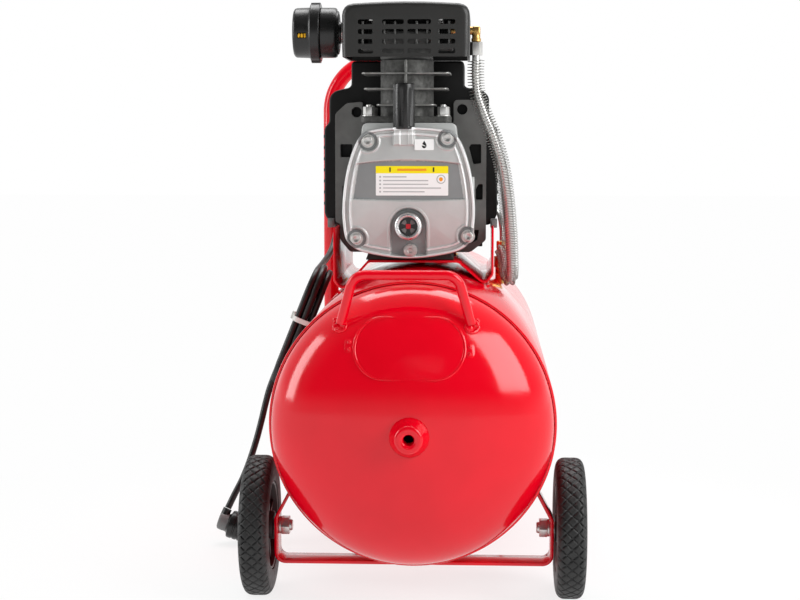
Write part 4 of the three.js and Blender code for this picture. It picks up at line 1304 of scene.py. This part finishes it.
def head_hood():
    left, right, bottom, top = HOOD_LEFT, HOOD_RIGHT, HOOD_BOTTOM, HOOD_TOP
    middle = (left + right) / 2
    wide = right - middle
    half = [(wide - 0.8, bottom - 9), (wide, bottom + 10), (wide, top - 15)]
    shoulder = ((0.8, 10.5), (3, 6.4), (6.6, 3.6), (12, 2.2), (30, 1.1), (50, 0.3))
    half += [(wide - x, top - z) for x, z in shoulder]
    outline = [(middle - x, z) for x, z in half] + [(middle, top)]
    outline += [(middle + x, z) for x, z in half[::-1]]
    cover = hood("head_hood", outline, (middle, (bottom + top) / 2), 153, 265, 7, 2.5)
    columns = ((-67, -50), (-40, -16), (-12, 14), (22, 41))
    slots = [(x0, x1, z, z + 5.4) for x0, x1 in columns for z in (583.4, 594.1, 604.9, 615.6)]
    boolean(cover, slot_tools(slots, 148, 162))
    bore(cover, 13.5, left - 6, left + 12, "x", (0, FILTER_D, FILTER_Z), 40)
    bore(cover, 8, right - 8, right + 6, "x", (0, FILTER_D, 611))
    boolean(cover, prism("tool", rectangle(left - 5, bottom - 20, right + 5, bottom), 140, 280))
    inner = [(middle + (x - middle) * 0.965, max(z - 1.5, bottom)) for x, z in outline]
    cover = joined("head_hood", [cover, prism("back", inner, 262, 264.8)])
    finish_piece(cover, "textured_plastic", "head_cover")


def air_filter():
    centre = (0, FILTER_D, FILTER_Z)
    neck = [(0, -76.5), (8.7, -76.5), (8.7, -88.5), (12.3, -89), (12.5, -91), (21.5, -91.2), (24, -91.8),
            (25, -93.4), (27, -93.9), (28, -95.4), (28.2, -98), (28.2, -111), (27.5, -111.7),
            (20.5, -111.7), (20.3, -99), (0, -99)]
    finish_piece(lathe("filter_base", neck, "x", centre, 96), "smooth_plastic", "air_filter_body")
    union = nut("filter_union", 22, -88.3, -85.6, "x", centre, 9)
    finish_piece(union, "zinc_steel")
    cap = [(0, -143), (21, -143), (25, -142.5), (27, -141.2), (27.9, -139), (28.4, -125), (29.4, -123.6),
           (32.2, -123.2), (33, -122.2), (33, -113), (32.2, -112), (22, -112), (22, -136), (0, -137)]
    bowl = lathe("filter_bowl", cap, "x", centre, 120)
    window = block("tool", (-136.6, FILTER_D - 40, 601.6), (-126.4, FILTER_D - 20, 607.6), 0.6)
    boolean(bowl, bake_modifiers(window))
    finish_piece(bowl, "smooth_plastic", "air_filter_cap")
    lugs = []
    for angle in (90, 270):
        for k in range(-3, 4):
            cd, cz = polar((FILTER_D, FILTER_Z), 33.2, math.radians(angle) + k * 0.075)
            lugs.append(drum("lug", 0.8, -122.6, -112.6, "x", (0, cd, cz), 10))
    finish_piece(joined("filter_grip_ribs", lugs), "smooth_plastic")
    ring = [(8, -135.6), (19.2, -135.6), (19.6, -134.4), (19.6, -100), (19, -99.4), (8, -99.4), (8, -135.6)]
    finish_piece(lathe("filter_ring", ring, "x", centre, 64), "yellow_foam", "filter_element")
    bars = []
    for x in (-136, -132.6, -129.2):
        bars.append(block("bar", (x, FILTER_D - 27.3, 602.4), (x + 2.4, FILTER_D - 23, 606.8), 0.6))
    finish_piece(joined("filter_window_bars", bars), "yellow_foam")


# ---- discharge line ----
DISCHARGE_RUN = [
    (63.8, 200, 579.6), (63.6, 201, 560), (65.5, 202, 540), (73.5, 203, 517), (84, 206, 492),
    (93, 213, 462), (99, 226, 425), (103, 244, 385), (105, 258, 355), (105.5, 268, 336), (105, 283, 324),
    (103.5, 300, 323.5), (102, 318, 331), (100, 338, 343), (98, 356, 349), (96.5, 368.5, 350),
]


def fin_wire(path):
    """One wire wound round the tube in tall narrow loops."""
    lengths = [0.0]
    for a, b in zip(path, path[1:]):
        lengths.append(lengths[-1] + (b - a).length)
    pitch, loops, samples = 3.3, 6, 5
    total = int(lengths[-1] / pitch * loops * samples)
    points, side = [], Vector((0, 1, 0))
    place_in = 0
    for k in range(total):
        s = 1 + (lengths[-1] - 5) * k / total
        while lengths[place_in + 1] < s:
            place_in += 1
        share = (s - lengths[place_in]) / (lengths[place_in + 1] - lengths[place_in])
        here = path[place_in].lerp(path[place_in + 1], share)
        along = (path[place_in + 1] - path[place_in]).normalized()
        side = (side - along * side.dot(along)).normalized()
        other = along.cross(side)
        turn = 2 * math.pi * k / (loops * samples)
        radius = 4.8 + 4.7 * abs(math.sin(math.pi * k / samples))
        points.append(here + (side * math.cos(turn) + other * math.sin(turn)) * radius)
    return points


def discharge_line():
    x = DISCHARGE_RUN[0][0]
    bend = bent([(32, FILTER_D, 611), (x, FILTER_D, 611), (x, FILTER_D, 598.6)], 5.5, 10)
    elbow = rod("elbow_pipe", bend, 4.7, 8)
    corner = block("corner", (x - 4.6, FILTER_D - 4.4, 605), (x + 4.8, FILTER_D + 4.4, 615.8), 2.2)
    lower = lathe("collar", [(0, 598.6), (5, 598.6), (5.5, 599.2), (5.5, 602), (5, 602.6), (0, 602.6)], "z",
                  (x, FILTER_D, 0), 40)
    body = joined("brass_elbow", [elbow, corner, lower])
    finish_piece(body, "brass", "discharge_elbow")
    core = spline(DISCHARGE_RUN, 3)
    tube = rod("core", core, 4.5, 6)
    fitting = nut("fitting", 12.8, 583.4, 598.3, "z", (x, FILTER_D, 0))
    neck = drum("neck", 4.5, 577, 584, "z", (x, FILTER_D, 0), 40)
    tube = joined("discharge_pipe", [tube, neck, fitting])
    finish_piece(tube, "zinc_steel", "discharge_tube", slot="fin_aluminium")
    wire = rod("discharge_fins", fin_wire(core), 0.4, 1)
    finish_piece(wire, "fin_wire")
    centre = (96.5, 380, 0)
    stub = [(0, 309), (8.2, 309), (8.2, 329), (7.6, 330), (0, 330)]
    top = [(0, 342), (7, 342), (7, 348), (6.4, 349), (6.4, 352), (7, 353), (7, 361), (6, 362), (0, 362)]
    inlet = [(0, 369.8), (6, 369.8), (6, 372), (7, 372.6), (7, 377), (6, 380), (0, 380)]
    parts = [
        lathe("stub", stub, "z", centre, 40),
        nut("hex", 17, 329, 343, "z", centre),
        lathe("top", top, "z", centre, 40),
        lathe("inlet", inlet, "y", (96.5, 0, 350), 32),
    ]
    finish_piece(joined("tank_check_valve", parts), "brass", "check_valve")


# ---- motor ----
def motor_frame():
    outline = [(-83.6, 372), (-83.6, 391), (-89, 393), (-89, 518), (-76, 530), (-57, 532), (-57, 506.8),
               (48, 506.8), (48, 531), (51, 534), (86, 534), (86, 372), (68, 358), (-72, 358)]
    plate = prism("end_frame_plate", [(PUMP_X + x, z) for x, z in rounded(outline, 3, 4)], 228.3, 240)
    tools = [drum("tool", 6, 220, 250, "y", (PUMP_X + x, 0, z))
             for x, z in ((-64, 520), (58, 523))]
    windows = [[(-83, 468), (-69, 468), (-69, 483), (-83, 483)],
               [(68, 483), (66, 479), (71, 460), (80, 461), (80, 483)],
               [(-81, 418), (-72, 418), (-72, 435), (-81, 435)],
               [(74, 419), (82, 419), (82, 437), (77, 437), (74, 431)],
               [(70, 369), (76, 372), (78, 384), (70, 384)]]
    for window in windows:
        tools.append(prism("tool", [(PUMP_X + x, z) for x, z in rounded(window, 1.2, 3)], 220, 250))
    shaft = drum("tool", 9, 220, 250, "y", (PUMP_X, 0, SHAFT_Z))
    boolean(plate, joined("tool", [*tools, shaft]))
    finish_piece(bevel(plate, 0.9, 3, 40), "dark_casting", "motor_end_frame")


def motor_back():
    centre = (PUMP_X, 0, SHAFT_Z)
    body = [(48, 240.3), (66, 240.3), (66, 245), (64, 246), (64, 372), (66, 373), (66, 376.6), (65, 378),
            (9, 378), (9, 372), (48, 372), (48, 240.3)]
    parts = [lathe("shell", body, "y", centre, 96)]
    for k in range(36):
        a = 2 * math.pi * k / 36
        c, s = math.cos(a), math.sin(a)
        fin = []
        for d in (247, 371):
            for r, w in ((62, -1), (62, 1), (66, 0.7), (66, -0.7)):
                fin.append((PUMP_X + r * c - w * s, d, SHAFT_Z + r * s + w * c))
        parts.append(mesh_piece("fin", fin, BOX_FACES))
    finish_piece(joined("motor_casing", parts), "cast_aluminium", "motor_housing")
    cup = [(70, 378.3), (70, 408), (69.4, 411), (67.6, 414), (64.6, 416.6), (61, 418), (0, 418), (0, 415.5),
           (61, 415.5), (65.6, 412), (67.5, 408), (67.5, 378.3), (70, 378.3)]
    cover = lathe("fan_hood", cup, "y", centre, 96)
    tools = []
    for r in (14, 22, 30, 38, 46, 54):
        for k in range(4):
            outline = arc((PUMP_X, SHAFT_Z), r - 1.9, 90 * k + 10, 90 * k + 80, 14)
            outline += arc((PUMP_X, SHAFT_Z), r + 1.9, 90 * k + 80, 90 * k + 10, 14)
            tools.append(prism("tool", outline, 410, 424))
    boolean(cover, joined("tool", tools))
    finish_piece(cover, "shroud_plastic", "fan_cover")
    box = block("capacitor_case", (PUMP_X - 24, 268, 498.6), (PUMP_X + 24, 345, 530), 4)
    bake_modifiers(box)
    bore(box, 66.4, 240, 380, "y", centre, 96)
    finish_piece(box, "textured_plastic", "capacitor_box")


def moving_parts():
    """Pieces inside the casings: they keep their CAD shapes, with real finishes."""
    looks = {"piston": "machined_aluminium", "rotor": "zinc_steel", "crankshaft": "zinc_steel",
             "cooling_fan": "shroud_plastic"}
    for node, look in looks.items():
        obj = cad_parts[node]
        obj.data.materials.clear()
        obj.data.materials.append(MATERIALS[look])


def air_guide():
    outline = [(-94, 389), (-103, 400), (-103, 502), (-97, 508), (-97, 538), (-90, 545), (-71, 549),
               (-71, 579), (60, 579), (60, 549), (82, 545), (89, 538), (89, 508), (99, 502), (99, 400),
               (91, 389)]
    outline = [(PUMP_X + x, z) for x, z in rounded(outline, 5, 4)]
    shroud = hood("shroud", outline, (PUMP_X, 482), 240.3, 322, 3, 3)
    bore(shroud, 67.2, 230, 340, "y", (PUMP_X, 0, SHAFT_Z), 96)
    finish_piece(shroud, "shroud_plastic", "air_guide")
    ribs = []
    for side in (-1, 1):
        x = PUMP_X + (-103 if side < 0 else 99)
        for i in range(7):
            z = 412 + 13 * i
            x0, x1 = sorted((x - side * 1.5, x + side * 1.2))
            ribs.append(block("rib", (x0, 246, z), (x1, 318, z + 4), 0.9))
    ribs.append(block("blank", (PUMP_X + 64, 241, 364), (PUMP_X + 82, 252, 390), 1))
    finish_piece(joined("shroud_ribs", ribs), "shroud_plastic")
    clips = []
    for x in (PUMP_X - 99, PUMP_X + 91):
        clips.append(block("clip", (x, 236.5, 386), (x + 8, 240, 397), 1))
        clips.append(block("clip", (x + 1.5, 234.8, 388.5), (x + 6.5, 237, 394.5), 0.7))
    finish_piece(joined("shroud_clips", clips), "grey_plastic")


# ---- pressure switch and outlets ----
def switch_and_outlets():
    x, d = OUTLET_X, OUTLET_D
    parts = [
        drum("stem", 9, 339, 368, "z", (x, d, 0), 40),
        block("manifold", (x - 15, d - 15, 368), (x + 15, d + 15, 397), 1.5),
        lathe("arm", [(0, x - 40), (6.4, x - 40), (7, x - 39), (7, x - 20), (0, x - 14)], "x",
              (0, d, 384), 32),
        lathe("arm", [(0, x + 14), (7, x + 20), (7, x + 35), (6.4, x + 36), (0, x + 36)], "x",
              (0, d, 384), 32),
        lathe("arm", [(0, d + 14), (7, d + 14), (7, d + 21), (6.4, d + 22), (0, d + 22)], "y",
              (x, 0, 384), 32),
        nut("hex", 16, x - 34, x - 26, "x", (0, d, 384)),
        nut("hex", 16, x + 24, x + 31, "x", (0, d, 384)),
    ]
    finish_piece(joined("brass_manifold", parts), "brass", "outlet_block")
    case = block("switch_case", (x - 32, d - 32, 402), (x + 32, d + 32, 468), 5)
    base = block("switch_base", (x - 32, d - 32, 397.3), (x + 32, d + 32, 401.4), 1)
    seam = block("seam", (x - 30.8, d - 30.8, 401), (x + 30.8, d + 30.8, 404), 1)
    finish_piece(joined("switch_case", [case, base, seam]), "textured_plastic", "pressure_switch")
    knob = [(0, 468.3), (6, 468.3), (6, 475.6), (7, 476.6), (12.6, 478), (13.6, 479.4), (14, 485),
            (13.2, 488), (11, 490), (7, 490.8), (0, 491)]
    finish_piece(lathe("start_knob", knob, "z", (x, d, 0), 64), "red_plastic", "switch_knob",
                 body="power_knob")
    rx = x - 56.5
    regulator = [(0, 362), (11, 362), (12.4, 363), (15, 366.4), (16, 369), (16, 373), (15.2, 374),
                 (15.2, 376), (16, 377), (16, 397), (14.6, 399), (10, 401), (9.4, 402), (0, 402)]
    finish_piece(lathe("regulator_body", regulator, "z", (rx, d, 0), 64), "brass", "pressure_regulator")
    regulator_grip((rx, d))
    gauge(rx, d)
    coupler = [(5.5, d + 22.3), (9, d + 22.3), (10, d + 23.3), (10, d + 33), (9, d + 34), (8, d + 34),
               (8, d + 55.2), (7.2, d + 56), (5.5, d + 56), (5.5, d + 22.3)]
    finish_piece(lathe("coupler_body", coupler, "y", (x, 0, 384), 48), "brass", "outlet_coupler")
    sleeve = [(8.3, d + 41), (11.2, d + 41), (12, d + 41.8), (12, d + 43.4), (11.2, d + 44),
              (11.2, d + 45), (12, d + 45.6), (12, d + 47.2), (11.2, d + 48), (11.2, d + 49),
              (12, d + 49.6), (12, d + 55), (11, d + 57), (8.3, d + 57), (8.3, d + 41)]
    collar = lathe("coupler_collar", sleeve, "y", (x, 0, 384), 64)
    finish_piece(collar, "zinc_steel", "coupler_sleeve", body="coupler_sleeve")
    vx = x + 44.6
    relief = [(0, 372), (6, 372), (7, 373), (7.6, 376), (8, 378), (8, 394), (7, 396), (5, 399),
              (4.6, 405), (4, 406), (0, 406)]
    finish_piece(lathe("relief_valve", relief, "z", (vx, d, 0), 48), "brass", "safety_valve")
    loop = [(vx + 7 * math.cos(a), d, 414.5 + 7 * math.sin(a)) for a in np.linspace(0, 2 * math.pi, 41)]
    stalk = drum("stalk", 1.1, 406.6, 408.6, "z", (vx, d, 0), 16)
    ring = joined("relief_ring", [bake_modifiers(rod("loop", loop, 0.9, 3)), stalk])
    finish_piece(ring, "zinc_steel", "safety_valve_pull", body="safety_pull")
    line = [(96.5, 380, 362.6), (96, 383, 378), (92, 396, 396), (80, 420, 404), (62, 446, 408),
            (44, 464, 409), (25, 470, 409)]
    finish_piece(rod("unloader_pipe", spline(line, 3), 3, 5), "fin_wire", "unloader_tube", slot="steel")


def regulator_grip(centre):
    levels = [(402.3, 15.8), (403.2, 17.4), (405, 17.8), (427, 17.2), (430.6, 16.2), (432, 14.4)]
    flutes = 18

    def depth(row, angle):
        return 0.7 * (0.5 + 0.5 * math.cos(flutes * angle))

    knob = fluted("regulator_grip", centre, levels, flutes * 8, depth)
    finish_piece(knob, "smooth_plastic", "regulator_knob", body="regulator_knob")


def gauge(x, d):
    """A pressure gauge facing backwards: case, plain dial with ticks, needle and glass."""
    case = [(0, d + 18), (4, d + 18), (4, d + 23.6), (18.6, d + 24), (20, d + 25), (20.6, d + 27),
            (21, d + 34.6), (20.4, d + 36), (18.6, d + 36), (18, d + 35), (18, d + 31), (0, d + 31)]
    finish_piece(lathe("gauge_case", case, "y", (x, 0, 384), 72), "zinc_steel", "pressure_gauge")
    dial = drum("gauge_dial", 17.8, d + 31.3, d + 31.8, "y", (x, 0, 384), 64)
    finish_piece(dial, "label_white", slot="steel")

    def pointing(outline, degrees):
        c, s = math.cos(math.radians(degrees)), math.sin(math.radians(degrees))
        return [(x + r * c - w * s, 384 + r * s + w * c) for r, w in outline]

    marks = []
    for k in range(11):
        tick = rectangle(12.5 if k % 2 == 0 else 14, -0.4, 16.5, 0.4)
        marks.append(prism("tick", pointing(tick, 225 - 27 * k), d + 31.9, d + 32.1))
    needle = pointing([(-4, -1), (14.5, -0.25), (14.5, 0.25), (-4, 1)], 225)
    marks.append(prism("needle", needle, d + 32.3, d + 32.7))
    marks.append(drum("pivot", 1.6, d + 31.9, d + 33, "y", (x, 0, 384), 20))
    finish_piece(joined("gauge_marks", marks), "label_ink", slot="steel")
    glass = drum("gauge_glass", 17.8, d + 34.4, d + 33.6, "y", (x, 0, 384), 64)
    finish_piece(glass, "clear_glass", slot="steel")


def drain():
    centre = (0, 300, 0)
    profile = [(0, 26), (4, 26), (4, 29.6), (6.6, 30), (8, 31.4), (8, 43.6), (0, 43.6)]
    finish_piece(lathe("drain_body", profile, "z", centre, 40), "brass", "drain_valve")
    knob = lathe("knob", [(0, 17), (7, 17), (8, 18), (8, 24.6), (7, 25.7), (0, 25.7)], "z", centre, 40)
    wing = block("wing", (-9, 298.5, 14), (9, 301.5, 20), 1.2)
    finish_piece(joined("drain_wing", [knob, wing]), "brass", "drain_knob", body="drain_knob")


# Blender seeds its noise from the clock unless it is told a number.
noise.seed_set(3)
camera()
floor()
studio()
paint_looks()
metal_looks()
plastic_looks()
label_looks()
cord()
tank()
data_plate()
handles()
saddle()
brackets()
wheel("left", -1)
wheel("right", 1)
crankcase()
crankcase_cover()
cover_fittings()
filler_plug()
labels()
cylinder()
head()
head_hood()
air_filter()
discharge_line()
motor_frame()
motor_back()
moving_parts()
air_guide()
switch_and_outlets()
drain()
